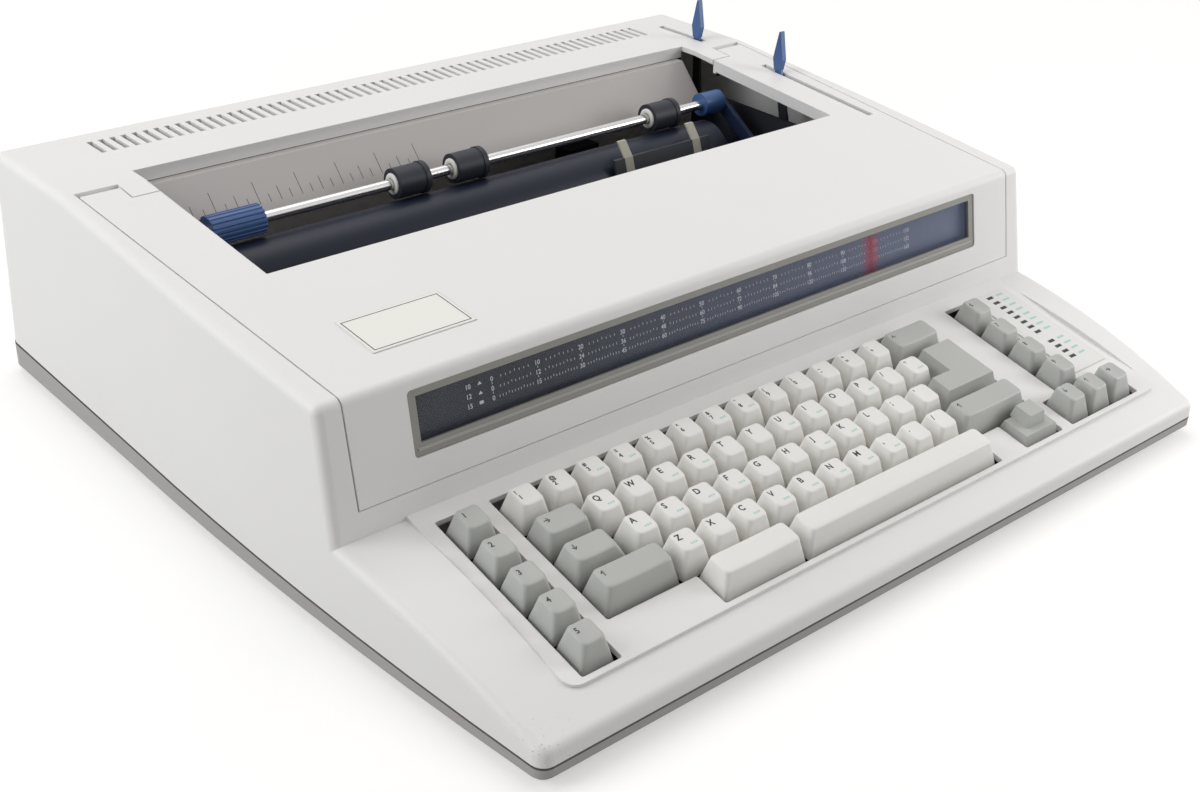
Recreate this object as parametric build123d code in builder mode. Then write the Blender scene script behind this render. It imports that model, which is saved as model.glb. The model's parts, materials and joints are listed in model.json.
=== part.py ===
from build123d import *
import math
import os

# Electronic typewriter with a daisy wheel, a one-piece case and a hinged access cover.
# X runs along the rows of keys, Y from the keyboard to the rear, Z up.
# The origin is on the table, under the middle of the machine. Lengths are in millimetres.

# Case, in plan
case_front = -224.5
case_rear = 224.0
front_half_width = 225.2
waist_half_width = 235.3
waist_y = -102.0
rear_half_width = 239.3
widest_y = 70.0
front_corner_radius = 7.0
rear_corner_radius = 14.0
side_draft = 2.2
case_wall = 3.0
case_depth_over = 150.0

# Case, from the side
foot_height = 4.0
seam_front_z = 10.6
seam_rise = 1.1
ledge_y = -98.5
ledge_z = 48.0
deck_mid_y = -151.5
deck_mid_z = 40.0
deck_low_y = -207.4
deck_low_z = 24.5
deck_fall = 19.0
top_front_y = -86.6
top_front_z = 108.2
top_slope = 4.76
rear_top_y = 137.0
rear_bevel_y = 212.5
rear_bevel_fall = 38.0
edge_radius = 4.5

# Keyboard plane: the near left top corner of the first key of the number row
key_slope = 12.3
key_origin = (-156.0, -126.0, 53.0)
key_pitch = 19.05
island_drop = 9.0
island_left = -41.5
island_right = 366.5
island_front = -85.4
island_rear = 30.0
island_corner = 7.0

# Key caps
cap_gap = 0.9
cap_side_run = 3.4
cap_front_run = 5.6
cap_rear_run = 0.4
cap_top_depth = 11.8
cap_height = 13.0
cap_corner = 1.6
cap_top_corner = 2.0
dish_depth = 0.5
stem_size = 4.4
stem_reach = 23.0
stem_clearance = 0.35
key_travel = 3.8
row_front = (0.0, -19.05, -38.1, -57.15, -75.6)
row_rise = (0.0, -0.8, -0.3, 0.9, 0.0)
left_column_x = -28.6
right_column_x = 313.0
cluster_x = 298.0
opening_rear = 17.3
opening_gap = 1.4
opening_corner = 1.2
bay_join = 30.0

# Key frame plate under the caps
plate_drop = 18.6
plate_thickness = 2.5
plate_margin = 6.0
post_radius = 2.5

# Indicator overlay, on the key plane
panel_left = 331.0
panel_right = 360.0
panel_front = -55.5
panel_thickness = 0.8
lamp_x = 343.5
lamp_width = 5.0
lamp_depth = 2.2
lamp_pitch = 4.9
lamp_margin = 4.0
lamp_group_gap = 4.5

# Access cover
cover_half_front = 218.5
cover_half_rear = 226.3
cover_foot_z = 59.7
cover_gap = 0.7
cover_seat = 0.3
cover_wall = 3.0
cover_flange = 9.0
flange_thickness = 2.5
cover_arm_rear = 119.0
tab_inner_x = 205.0
hinge_y = 131.0
barrel_radius = 4.0
hinge_pin_radius = 1.5
hinge_running = 0.05
hinge_pin_length = 33.0
lug_thickness = 5.0
paper_half_width = 190.0
paper_front = 19.5
paper_rear = 148.5
paper_corner = 3.0
skirt_depth = 7.0
plate_left = -188.5
plate_front = -64.0
plate_width = 54.5
plate_depth = 30.0
plate_relief = 0.4

# Window in the front of the cover
window_left = -188.7
window_right = 190.5
window_low = 72.5
window_high = 102.2
window_fit = 0.15
window_corner = 2.0
bezel_side = 4.3
bezel_low = 6.0
bezel_high = 3.4
bezel_recess = 0.6
bezel_lip = 1.4
bezel_depth = 7.5
bezel_flange = 2.0
lens_rebate = 1.5
lens_fit = 0.1
lens_thickness = 2.0
scale_thickness = 1.2

# Platen, paper bail and rollers
platen_y = 94.0
platen_z = 78.0
platen_radius = 19.5
platen_left = -176.0
platen_right = 164.0
shaft_radius = 5.0
shaft_running = 0.06
bail_y = 104.0
bail_z = 105.0
bail_rod_radius = 3.0
bail_pivot_y = 62.0
bail_pivot_z = 78.0
bail_arm_x = 182.0
bail_arm_thickness = 3.0
bail_arm_width = 8.0
knob_left = -174.8
knob_right = -144.9
knob_radius = 8.0
knob_flutes = 18
cap_left = 165.0
cap_radius = 7.0
roller_radius = 8.4
roller_flange = 3.0
roller_flange_radius = 8.9
roller_centres = (-54.0, -15.0, 131.0)
roller_length = 20.0
roller_running = 0.06
pin_radius = 3.0
pin_running = 0.06
feed_radius = 6.2
feed_gap = 0.35
feed_offset = 8.0
feed_end = 16.0

# Side frames and rails
frame_x = 197.0
frame_thickness = 2.5
frame_front = -46.0
frame_rear = 157.0
frame_top = 100.0
floor_thickness = 3.0
rail_radius = 5.0
rail_running = 0.06
front_rail_y = -30.0
rear_rail_y = 32.0
rail_z = 42.0

# Platen drive
gear_module = 1.0
gear_teeth = 46
pinion_teeth = 16
gear_width = 4.0
gear_backlash = 0.3
pinion_angle = -60.0
gear_space = 2.0
motor_radius = 14.0
motor_length = 15.5
motor_shaft_radius = 2.0

# Levers
bail_lever_x = 213.0
release_lever_x = 210.0
lever_thickness = 2.0
slot_width = 4.4
lever_top_width = 3.4
lever_shoulder = 8.0
lever_neck = 5.0
bail_lever_y = 60.0
release_lever_y = 148.0
lever_pivot_z = 30.0
bail_head_y = 84.6
release_head_y = 155.0
bail_slot_front = 8.0
bail_slot_rear = 98.0
release_slot_front = 149.0
release_slot_rear = 190.0
head_lift = 1.5
lever_shoulder_rise = 7.0
lever_tip_rise = 24.0

# Carriage
carriage_x = 109.0
carriage_half_width = 40.0
carriage_front = -44.0
carriage_rear = 60.0
carriage_low = 33.0
carriage_top = 82.0
sheet = 2.5
wheel_y = 69.6
wheel_z = 46.0
wheel_radius = 32.0
wheel_thickness = 0.8
petal_count = 40
wheel_hub_radius = 9.0
hammer_radius = 3.0
hammer_y = 40.0
hammer_length = 26.5
print_z = 76.0
cassette_width = 96.0
cassette_depth = 42.0
cassette_height = 13.0
cassette_front = 8.0
pointer_y = -79.0
pointer_top = 97.0
pointer_arm = 6.0
pointer_thickness = 1.5
holder_half = 38.0
holder_arm = 3.0
holder_y = 71.5
holder_thickness = 1.5
holder_rake = 5.0
holder_top = 97.0
finger_x = 27.0
finger_width = 6.0
finger_y = 83.0
finger_top = 105.0

# Rear vents
vent_count = 61
vent_pitch = 6.3
vent_length = 18.5
vent_width = 3.0
vent_y = 190.0

# Pieces on the floor
foot_radius = 9.0
foot_x = 188.0
foot_front_y = -190.0
foot_rear_y = 150.0
foot_lip = 1.0
screw_shank_radius = 1.75
screw_head_radius = 3.5
screw_head_depth = 2.4
screw_length = 14.0
screw_clearance = 0.15
boss_radius = 5.5
boss_height = 3.0
screw_recess = 2.8
screw_bite = 0.02
boss_places = (-204.0, -20.0, 165.0)
boss_reach = 1.8
boss_length = 26.0
base_inset = 0.5
base_chamfer = 2.0
board_left = -188.0
board_right = 196.0
board_front = -206.0
board_rear = -112.0
board_thickness = 1.6
board_standoff = 1.4
chip_count = 5
chip_pitch = 60.0
chip_length = 36.0
chip_width = 14.0
chip_height = 4.0
chip_margin = 10.0
transformer_x = 120.0
transformer_y = 178.0
transformer_size = (62.0, 40.0, 46.0)
inlet_x = 160.0
inlet_z = 38.0
inlet_width = 28.0
inlet_height = 20.0
inlet_fit = 0.1
inlet_rear = 223.0
inlet_depth = 16.0
belt_z = 24.0
belt_height = 5.0
belt_thickness = 1.2
pulley_radius = 9.0
pulley_x = 168.0
drive_motor_radius = 17.0
rest_half_width = 186.0
rest_thickness = 2.0
rest_low_y = 121.0
rest_low_z = 96.0
rest_high_y = 143.0
rest_high_z = 119.5

os.makedirs("parts", exist_ok=True)

slope = math.radians(key_slope)
key_plane = Plane(origin=key_origin, x_dir=(1, 0, 0), z_dir=(0, -math.sin(slope), math.cos(slope)))
lean = math.atan2(top_front_z - ledge_z, top_front_y - ledge_y)
face_plane = Plane(
    origin=(0, top_front_y, top_front_z), x_dir=(1, 0, 0), z_dir=(0, -math.sin(lean), math.cos(lean))
)
floor_z = foot_height + floor_thickness


def save(piece, name):
    """Give a finished piece its name and write it."""
    piece.label = name
    export_step(piece, "parts/" + name + ".step")


def top_z(y):
    """Height of the top of the case, behind its front edge."""
    return top_front_z + (min(y, rear_top_y) - top_front_y) * math.tan(math.radians(top_slope))


def seam_z(y):
    """Height of the seam between base and case."""
    return seam_front_z + (y - case_front) * math.tan(math.radians(seam_rise))


def face_v(z):
    """Distance up the leaning front face, from its top edge, of a place at a height."""
    return (z - top_front_z) / math.sin(lean)


def half_width(y):
    """The case's half width near the seam, over a place between front and rear."""
    if y > widest_y:
        return rear_half_width
    share = (widest_y - y) / (widest_y - case_front)
    return rear_half_width - (rear_half_width - front_half_width) * share ** 2


def plan_outline(inset):
    """The case's outline in plan."""
    with BuildSketch() as outline:
        with BuildLine():
            Line((-front_half_width, case_front), (front_half_width, case_front))
            ThreePointArc(
                (front_half_width, case_front), (waist_half_width, waist_y), (rear_half_width, widest_y)
            )
            Line((rear_half_width, widest_y), (rear_half_width, case_rear))
            Line((rear_half_width, case_rear), (-rear_half_width, case_rear))
            Line((-rear_half_width, case_rear), (-rear_half_width, widest_y))
            ThreePointArc(
                (-rear_half_width, widest_y), (-waist_half_width, waist_y), (-front_half_width, case_front)
            )
        make_face()
        fillet(outline.vertices().group_by(Axis.Y)[0], front_corner_radius)
        fillet(outline.vertices().group_by(Axis.Y)[-1], rear_corner_radius)
        if inset > 0:
            offset(outline.faces(), amount=-inset, mode=Mode.REPLACE)
    return outline.sketch


def side_profile(inset):
    """The case seen from the side, running on below the seam and past both ends."""
    far = 2 * case_depth_over
    fall = math.tan(math.radians(deck_fall))
    bevel = math.tan(math.radians(rear_bevel_fall))
    high = top_z(rear_top_y)
    with BuildSketch() as profile:
        with BuildLine():
            ThreePointArc((deck_low_y, deck_low_z), (deck_mid_y, deck_mid_z), (ledge_y, ledge_z))
            Polyline(
                (ledge_y, ledge_z),
                (top_front_y, top_front_z),
                (rear_top_y, high),
                (rear_bevel_y, high),
                (far, high - (far - rear_bevel_y) * bevel),
                (far, -far),
                (-far, -far),
                (-far, deck_low_z - (far + deck_low_y) * fall),
                (deck_low_y, deck_low_z),
            )
        make_face()
        if inset > 0:
            offset(profile.faces(), amount=-inset, kind=Kind.INTERSECTION, mode=Mode.REPLACE)
    return profile.sketch


def case_form(inset):
    """The case as a full block, from the table up."""
    with BuildPart() as form:
        with BuildSketch():
            add(plan_outline(inset))
        extrude(amount=case_depth_over, taper=side_draft)
        with BuildSketch(Plane.YZ):
            add(side_profile(inset))
        extrude(amount=2 * rear_half_width, both=True, mode=Mode.INTERSECT)
    return form.part


def is_deck_edge(edge):
    """Edges round the low front deck."""
    place = edge.center()
    if place.Y > waist_y or place.Z > ledge_z - edge_radius or place.Z < seam_front_z:
        return False
    if abs(place.X) < 1:
        return place.Y < deck_low_y - edge_radius
    return edge.geom_type != GeomType.LINE


def is_top_edge(edge):
    """Edges round the top of the case, behind its front edge."""
    place = edge.center()
    side = abs(place.X) > cover_half_front
    rear = place.Y > rear_bevel_y - 1
    return place.Z > top_front_z - 1 and (side or rear)


def is_face_edge(edge):
    """Edges beside the leaning front face."""
    place = edge.center()
    return ledge_z < place.Z < top_front_z and place.Y < top_front_y and abs(place.X) > cover_half_front


with BuildPart() as outer:
    add(case_form(0))
    fillet(outer.edges().filter_by(is_deck_edge), edge_radius)
    fillet(outer.edges().filter_by(is_top_edge), edge_radius)
    fillet(outer.edges().filter_by(is_face_edge), edge_radius)

inner_form = case_form(case_wall)
cover_inner = case_form(cover_wall)


def island_outline(grow, rear):
    """The flat field round the keys, on the key plane."""
    with BuildSketch() as field:
        with Locations(((island_left + island_right) / 2, rear)):
            Rectangle(
                island_right - island_left + 2 * grow, rear - island_front + grow, align=(Align.CENTER, Align.MAX)
            )
        fillet(field.vertices().group_by(Axis.Y)[0], island_corner)
    return field.sketch


def cover_outline(grow):
    """The access cover in plan, with its two hinge tabs."""
    with BuildSketch() as region:
        with BuildLine():
            Polyline(
                (-cover_half_front, case_front / 2),
                (cover_half_front, case_front / 2),
                (cover_half_rear, hinge_y + barrel_radius),
                (tab_inner_x, hinge_y + barrel_radius),
                (tab_inner_x, cover_arm_rear),
                (-tab_inner_x, cover_arm_rear),
                (-tab_inner_x, hinge_y + barrel_radius),
                (-cover_half_rear, hinge_y + barrel_radius),
                (-cover_half_front, case_front / 2),
            )
        make_face()
        if grow != 0:
            offset(region.faces(), amount=grow, kind=Kind.INTERSECTION, mode=Mode.REPLACE)
    return region.sketch


def top_width(units):
    """Width of the top of a key cap that takes up a number of key units."""
    return units * key_pitch - cap_gap - 2 * cap_side_run


# Keys: name, then the place and size of each cap's top, its rise and where its stems stand
unit_top = top_width(1)
small_top_x = 265.5
small_top_width = 11.0
small_front = -73.5
keys = []
for number in range(5):
    keys.append(("left_key_" + str(number + 1), [(left_column_x, row_front[number], unit_top, row_rise[number], 1)]))
starts = (0.0, 1.5, 1.75, 2.25)
counts = (13, 12, 11, 10)
names = ("number_row_keys", "upper_row_keys", "home_row_keys", "lower_row_keys")
for row in range(4):
    caps = []
    for place in range(counts[row]):
        caps.append(((starts[row] + place) * key_pitch, row_front[row], unit_top, row_rise[row], 1))
    keys.append((names[row], caps))
keys.append(("backspace_key", [(13 * key_pitch, row_front[0], top_width(2), row_rise[0], 1)]))
keys.append(("tab_key", [(0.0, row_front[1], top_width(1.5), row_rise[1], 1)]))
keys.append(("lock_key", [(0.0, row_front[2], top_width(1.5), row_rise[2], 1)]))
keys.append(("left_shift_key", [(0.0, row_front[3], top_width(2.25), row_rise[3], 1)]))
keys.append(("right_shift_key", [(12.25 * key_pitch, row_front[3], top_width(2.75), row_rise[3], 1)]))
keys.append(("code_key", [(2.64 * key_pitch, row_front[4], top_width(2.75), row_rise[4], 1)]))
keys.append(("space_bar", [(5.41 * key_pitch, row_front[4], top_width(7.1), row_rise[4], 2)]))
caps = []
for row in range(4):
    caps.append((right_column_x, row_front[row], unit_top, row_rise[row], 1))
keys.append(("right_column_keys", caps))
for number in range(3):
    caps = [(cluster_x + number * key_pitch, row_front[4], unit_top, row_rise[4], 1)]
    keys.append(("front_key_" + str(number + 1), caps))
lock_ledge = 0.25 * key_pitch
return_left = 12.75 * key_pitch
return_inner = 13.5 * key_pitch
return_right = return_left + top_width(2.25)
return_rise = row_rise[2]
stepped_left = 256.2
stepped_right = 283.9
stepped_ledge = 6.0


def stem_places(cap):
    """Places of a key's stems on the key plane."""
    left, front, width, rise, stems = cap
    middle = front + cap_top_depth / 2
    if stems == 1:
        return [(left + width / 2, middle)]
    return [(left + width / 8, middle), (left + width * 7 / 8, middle)]


stem_list = []
for name, caps in keys:
    for cap in caps:
        stem_list.extend(stem_places(cap))
return_stem = ((return_inner + return_right) / 2, row_front[2] + cap_top_depth / 2 + key_pitch / 2)
stepped_stem = ((stepped_left + stepped_right) / 2, small_front + cap_top_depth / 2)
stem_list.append(return_stem)
stem_list.append(stepped_stem)


def key_cap(cap, right_extra):
    """One key: a tapering cap with a dished top, on its stem or stems."""
    left, front, width, rise, stems = cap
    base_width = width + 2 * cap_side_run + right_extra
    base_depth = cap_top_depth + cap_front_run + cap_rear_run
    with BuildPart() as piece:
        with BuildSketch(key_plane.offset(rise - cap_height)) as base:
            with Locations((left - cap_side_run + base_width / 2, front - cap_front_run + base_depth / 2)):
                Rectangle(base_width, base_depth)
            fillet(base.vertices(), cap_corner)
        with BuildSketch(key_plane.offset(rise)) as top:
            with Locations((left + width / 2, front + cap_top_depth / 2)):
                Rectangle(width, cap_top_depth)
            fillet(top.vertices(), cap_top_corner)
        loft()
        if stems == 1:
            radius = (width / 2) ** 2 / (2 * dish_depth) + dish_depth / 2
            start = key_plane.from_local_coords((left + width / 2, front - cap_front_run, 0))
            across = Plane(origin=start, x_dir=(1, 0, 0), z_dir=key_plane.y_dir)
            with BuildSketch(across):
                with Locations((0, -(rise + radius - dish_depth))):
                    Circle(radius)
            extrude(amount=base_depth, mode=Mode.SUBTRACT)
        with BuildSketch(key_plane.offset(rise - cap_height)):
            with Locations(*stem_places(cap)):
                Rectangle(stem_size, stem_size)
        extrude(amount=-(stem_reach - cap_height + rise))
    return piece.part


for name, caps in keys:
    with BuildPart() as key:
        for cap in caps:
            extra = 0.0
            if name == "lock_key":
                extra = lock_ledge
            add(key_cap(cap, extra))
    save(key.part, name)


# Return key, an inverted L over two rows
rear_edge = row_front[1] + cap_top_depth
step_edge = row_front[2] + cap_top_depth
with BuildPart() as return_key:
    with BuildSketch(key_plane.offset(return_rise - cap_height)):
        with BuildLine():
            Polyline(
                (return_left - cap_side_run, row_front[2] - cap_front_run),
                (return_right + cap_side_run, row_front[2] - cap_front_run),
                (return_right + cap_side_run, rear_edge + cap_rear_run),
                (return_inner - cap_side_run, rear_edge + cap_rear_run),
                (return_inner - cap_side_run, step_edge + cap_rear_run),
                (return_left - cap_side_run, step_edge + cap_rear_run),
                (return_left - cap_side_run, row_front[2] - cap_front_run),
            )
        make_face()
    with BuildSketch(key_plane.offset(return_rise)):
        with BuildLine():
            Polyline(
                (return_left, row_front[2]),
                (return_right, row_front[2]),
                (return_right, rear_edge),
                (return_inner, rear_edge),
                (return_inner, step_edge),
                (return_left, step_edge),
                (return_left, row_front[2]),
            )
        make_face()
    loft()
    with BuildSketch(key_plane.offset(return_rise - cap_height)):
        with Locations(return_stem):
            Rectangle(stem_size, stem_size)
    extrude(amount=-(stem_reach - cap_height + return_rise))
save(return_key.part, "return_key")


# Small key on a broad stepped foot
stepped_width = stepped_right - stepped_left
stepped_front = row_front[4] - cap_front_run
stepped_rear = row_front[4] + cap_top_depth + cap_rear_run
with BuildPart() as stepped_key:
    with BuildSketch(key_plane.offset(-cap_height)):
        with Locations(((stepped_left + stepped_right) / 2, (stepped_front + stepped_rear) / 2)):
            Rectangle(stepped_width, stepped_rear - stepped_front)
    with BuildSketch(key_plane.offset(-stepped_ledge)):
        with Locations(((stepped_left + stepped_right) / 2, (stepped_front + stepped_rear) / 2 + 0.8)):
            Rectangle(stepped_width - cap_side_run, stepped_rear - stepped_front - cap_side_run)
    loft()
    with BuildSketch(key_plane.offset(-stepped_ledge)):
        with Locations((small_top_x + small_top_width / 2, small_front + cap_top_depth / 2 - 1.2)):
            Rectangle(small_top_width + cap_side_run, cap_top_depth)
    with BuildSketch(key_plane):
        with Locations((small_top_x + small_top_width / 2, small_front + cap_top_depth / 2 - 0.5)):
            Rectangle(small_top_width, cap_top_depth - 2)
    loft()
    with BuildSketch(key_plane.offset(-cap_height)):
        with Locations(stepped_stem):
            Rectangle(stem_size, stem_size)
    extrude(amount=-(stem_reach - cap_height))
save(stepped_key.part, "stepped_key")


def key_openings():
    """Openings round the groups of keys, on the key plane."""
    side = cap_side_run + opening_gap
    front = row_front[4] - cap_front_run - opening_gap
    upper = row_front[3] - cap_front_run - opening_gap
    with BuildSketch() as holes:
        for left, right, low, high in (
            (-side, return_right + side, upper, opening_rear),
            (2.64 * key_pitch - side, 5.41 * key_pitch + top_width(7.1) + side, front, upper + bay_join),
            (stepped_left - opening_gap, stepped_right + opening_gap, front, upper + bay_join),
            (left_column_x - side, left_column_x + unit_top + side, front, opening_rear),
            (right_column_x - side, right_column_x + unit_top + side, upper - bay_join / 6, opening_rear),
            (cluster_x - side, cluster_x + 2 * key_pitch + unit_top + side, front, upper + opening_gap),
        ):
            with Locations(((left + right) / 2, (low + high) / 2)):
                Rectangle(right - left, high - low)
        fillet(holes.vertices(), opening_corner)
    return holes.sketch


def below_seam():
    """Everything under the seam between base and case, seen from the side."""
    far = 2 * case_depth_over
    with BuildSketch() as low:
        with BuildLine():
            Polyline((-far, seam_z(-far)), (-far, -far), (far, -far), (far, seam_z(far)), (-far, seam_z(-far)))
        make_face()
    return low.sketch


def boss_x(y):
    """Distance from the middle to the screw bosses, which stand against the side walls."""
    return half_width(y) - case_wall - boss_radius + boss_reach


screw_seat = foot_height + screw_recess
screw_tip = screw_seat + screw_length
full_width = 2 * rear_half_width

# Upper case, with the keyboard field, the cover's opening, vents and lever slot
with BuildPart() as cavity:
    add(inner_form)
    with BuildSketch(key_plane.offset(-island_drop - case_wall)):
        add(island_outline(case_wall - 0.5, opening_rear))
    extrude(amount=30, mode=Mode.SUBTRACT)
    with BuildSketch(key_plane.offset(-island_drop - case_wall)):
        add(island_outline(-case_wall, island_rear - 2 * case_wall))
    extrude(amount=-12)

with BuildPart() as bosses:
    with BuildSketch(Plane.XY.offset(floor_z + boss_height)):
        for y in boss_places:
            with Locations((-boss_x(y), y), (boss_x(y), y)):
                Circle(boss_radius)
    extrude(amount=boss_length)
    with BuildSketch(Plane.XY.offset(floor_z)):
        for y in boss_places:
            with Locations((-boss_x(y), y), (boss_x(y), y)):
                Circle(screw_shank_radius + screw_bite)
    extrude(amount=screw_tip - floor_z + 0.5, mode=Mode.SUBTRACT)
    add(outer.part, mode=Mode.INTERSECT)

with BuildPart() as upper_case:
    add(outer.part)
    with BuildSketch(key_plane.offset(-island_drop)):
        add(island_outline(0, opening_rear))
    extrude(amount=30, mode=Mode.SUBTRACT)
    with BuildSketch(key_plane.offset(-island_drop)):
        add(island_outline(0, island_rear))
    extrude(amount=-12)
    add(cavity.part, mode=Mode.SUBTRACT)
    add(bosses.part)
    with BuildSketch(Plane.YZ):
        add(below_seam())
    extrude(amount=full_width, both=True, mode=Mode.SUBTRACT)
    with BuildSketch(key_plane.offset(-island_drop - case_wall - 6)):
        add(key_openings())
    extrude(amount=case_wall + 16, mode=Mode.SUBTRACT)
    with BuildSketch(Plane.XY.offset(cover_foot_z - cover_seat)):
        add(cover_outline(cover_gap))
    extrude(amount=case_depth_over, mode=Mode.SUBTRACT)
    with BuildSketch(Plane.XY.offset(rest_high_z - rest_thickness)):
        with Locations((0, paper_rear + flange_thickness / 2)):
            Rectangle(2 * paper_half_width, flange_thickness)
    extrude(amount=top_z(paper_rear) - case_wall / 2 - rest_high_z + rest_thickness)
    with BuildSketch(Plane.XY.offset(cover_foot_z)):
        with Locations((0, paper_rear)):
            Rectangle(2 * paper_half_width, paper_rear - cover_arm_rear + 5, align=(Align.CENTER, Align.MAX))
    extrude(amount=case_depth_over, mode=Mode.SUBTRACT)
    for side in (-1, 1):
        near = side * (tab_inner_x - cover_gap - lug_thickness / 2)
        outside = side * (cover_half_rear + 2 * cover_gap + lug_thickness / 2)
        with BuildSketch(Plane.XY.offset(top_z(hinge_y) - 2 * barrel_radius)):
            with Locations((near, hinge_y), (outside, hinge_y)):
                Rectangle(lug_thickness, 2 * barrel_radius)
        extrude(amount=2 * barrel_radius - case_wall / 2)
        start = Plane.YZ.offset(side * (tab_inner_x - cover_gap - lug_thickness - 1))
        with BuildSketch(start):
            with Locations((hinge_y, top_z(hinge_y) - barrel_radius)):
                Circle(hinge_pin_radius + screw_bite)
        extrude(amount=side * hinge_pin_length, mode=Mode.SUBTRACT)
    with BuildSketch(Plane.XY.offset(top_z(rear_top_y) - 2 * case_wall)):
        with GridLocations(vent_pitch, 1, vent_count, 1):
            with Locations((0, vent_y)):
                Rectangle(vent_width, vent_length)
        with Locations((release_lever_x, (release_slot_front + release_slot_rear) / 2)):
            Rectangle(slot_width, release_slot_rear - release_slot_front)
    extrude(amount=3 * case_wall, mode=Mode.SUBTRACT)
    with BuildSketch(Plane.XZ.offset(-case_rear + 4 * case_wall)):
        with Locations((inlet_x, inlet_z)):
            Rectangle(inlet_width + 2 * inlet_fit, inlet_height + 2 * inlet_fit)
    extrude(amount=-6 * case_wall, mode=Mode.SUBTRACT)
save(upper_case.part, "upper_case")


# Pins of the cover's hinge
with BuildPart() as hinge_pins:
    for side in (-1, 1):
        with BuildSketch(Plane.YZ.offset(side * (tab_inner_x - cover_gap - lug_thickness))):
            with Locations((hinge_y, top_z(hinge_y) - barrel_radius)):
                Circle(hinge_pin_radius)
        extrude(amount=side * (hinge_pin_length - 1.5))
save(hinge_pins.part, "hinge_pins")


# Base pan with its floor, bosses and pads for the circuit board
board_pads = (
    (board_left + 8, board_front + 8),
    (board_right - 8, board_front + 8),
    (board_left + 8, board_rear - 8),
    (board_right - 8, board_rear - 8),
)
with BuildPart() as base_pan:
    with BuildSketch(Plane.XY.offset(foot_height)):
        add(plan_outline(base_inset))
    extrude(amount=30)
    with BuildSketch(Plane.XY.offset(floor_z)):
        add(plan_outline(base_inset + case_wall))
    extrude(amount=30, mode=Mode.SUBTRACT)
    with BuildSketch(Plane.XY.offset(floor_z)):
        for y in boss_places:
            with Locations((-boss_x(y), y), (boss_x(y), y)):
                Circle(boss_radius)
    extrude(amount=boss_height)
    with BuildSketch(Plane.XY.offset(floor_z)):
        with Locations(*board_pads):
            Circle(post_radius)
    extrude(amount=board_standoff)
    with BuildSketch(Plane.YZ):
        add(below_seam())
    extrude(amount=full_width, both=True, mode=Mode.INTERSECT)
    with BuildSketch(Plane.XY.offset(foot_height)):
        for y in boss_places:
            with Locations((-boss_x(y), y), (boss_x(y), y)):
                Circle(screw_shank_radius + screw_clearance)
    extrude(amount=30, mode=Mode.SUBTRACT)
    with BuildSketch(Plane.XY.offset(foot_height)):
        for y in boss_places:
            with Locations((-boss_x(y), y), (boss_x(y), y)):
                Circle(screw_head_radius + screw_clearance)
    extrude(amount=screw_recess, mode=Mode.SUBTRACT)
    chamfer(base_pan.faces().sort_by(Axis.Z)[0].outer_wire().edges(), base_chamfer)
save(base_pan.part, "base_pan")


# Screws through the base into the case
with BuildPart() as case_screws:
    with BuildSketch(Plane.XY.offset(screw_seat - screw_head_depth)):
        for y in boss_places:
            with Locations((-boss_x(y), y), (boss_x(y), y)):
                Circle(screw_head_radius)
    extrude(amount=screw_head_depth)
    with BuildSketch(Plane.XY.offset(screw_seat)):
        for y in boss_places:
            with Locations((-boss_x(y), y), (boss_x(y), y)):
                Circle(screw_shank_radius)
    extrude(amount=screw_length)
save(case_screws.part, "case_screws")


# Rubber feet
with BuildPart() as rubber_feet:
    with BuildSketch():
        with Locations((-foot_x, foot_front_y), (foot_x, foot_front_y), (-foot_x, foot_rear_y), (foot_x, foot_rear_y)):
            Circle(foot_radius)
    extrude(amount=foot_height)
    chamfer(rubber_feet.faces().group_by(Axis.Z)[0].edges(), foot_lip)
save(rubber_feet.part, "rubber_feet")


# Overlay beside the right column of keys, with twelve small indicator windows
with BuildPart() as indicator_panel:
    with BuildSketch(key_plane.offset(-island_drop)):
        with Locations(((panel_left + panel_right) / 2, (panel_front + opening_rear) / 2)):
            Rectangle(panel_right - panel_left, opening_rear - panel_front)
    extrude(amount=panel_thickness)
    with BuildSketch(key_plane.offset(-island_drop + panel_thickness)):
        for number in range(12):
            gap = lamp_group_gap if number > 7 else 0.0
            with Locations((lamp_x, opening_rear - lamp_margin - number * lamp_pitch - gap)):
                Rectangle(lamp_width, lamp_depth)
    extrude(amount=-panel_thickness / 2, mode=Mode.SUBTRACT)
save(indicator_panel.part, "indicator_panel")


# Key frame: a plate with square guides for the stems, on posts under the keyboard field
plate_low = row_front[4] - cap_front_run
post_left = (left_column_x + unit_top) / 2
post_right = (return_right + right_column_x) / 2
posts = (
    (post_left, opening_rear - plate_margin),
    (post_left, row_front[2]),
    (post_left, plate_low + plate_margin),
    (post_right, opening_rear - plate_margin),
    (post_right, row_front[2]),
    (lamp_x, opening_rear - plate_margin),
    (lamp_x, row_front[3] + plate_margin),
)
with BuildPart() as key_frame:
    with BuildSketch(key_plane.offset(-plate_drop)):
        left = left_column_x - cap_side_run
        right = cluster_x + 2 * key_pitch + unit_top + cap_side_run
        with Locations(((left + right) / 2, (plate_low + opening_rear) / 2)):
            Rectangle(right - left, opening_rear - plate_low)
    extrude(amount=-plate_thickness)
    with BuildSketch(key_plane.offset(-plate_drop)):
        with Locations(*posts):
            Circle(post_radius)
    extrude(amount=plate_drop - island_drop - case_wall)
    with BuildSketch(key_plane.offset(-plate_drop)):
        with Locations(*stem_list):
            Rectangle(stem_size + 2 * stem_clearance, stem_size + 2 * stem_clearance)
    extrude(amount=-plate_thickness, mode=Mode.SUBTRACT)
save(key_frame.part, "key_frame")


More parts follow.
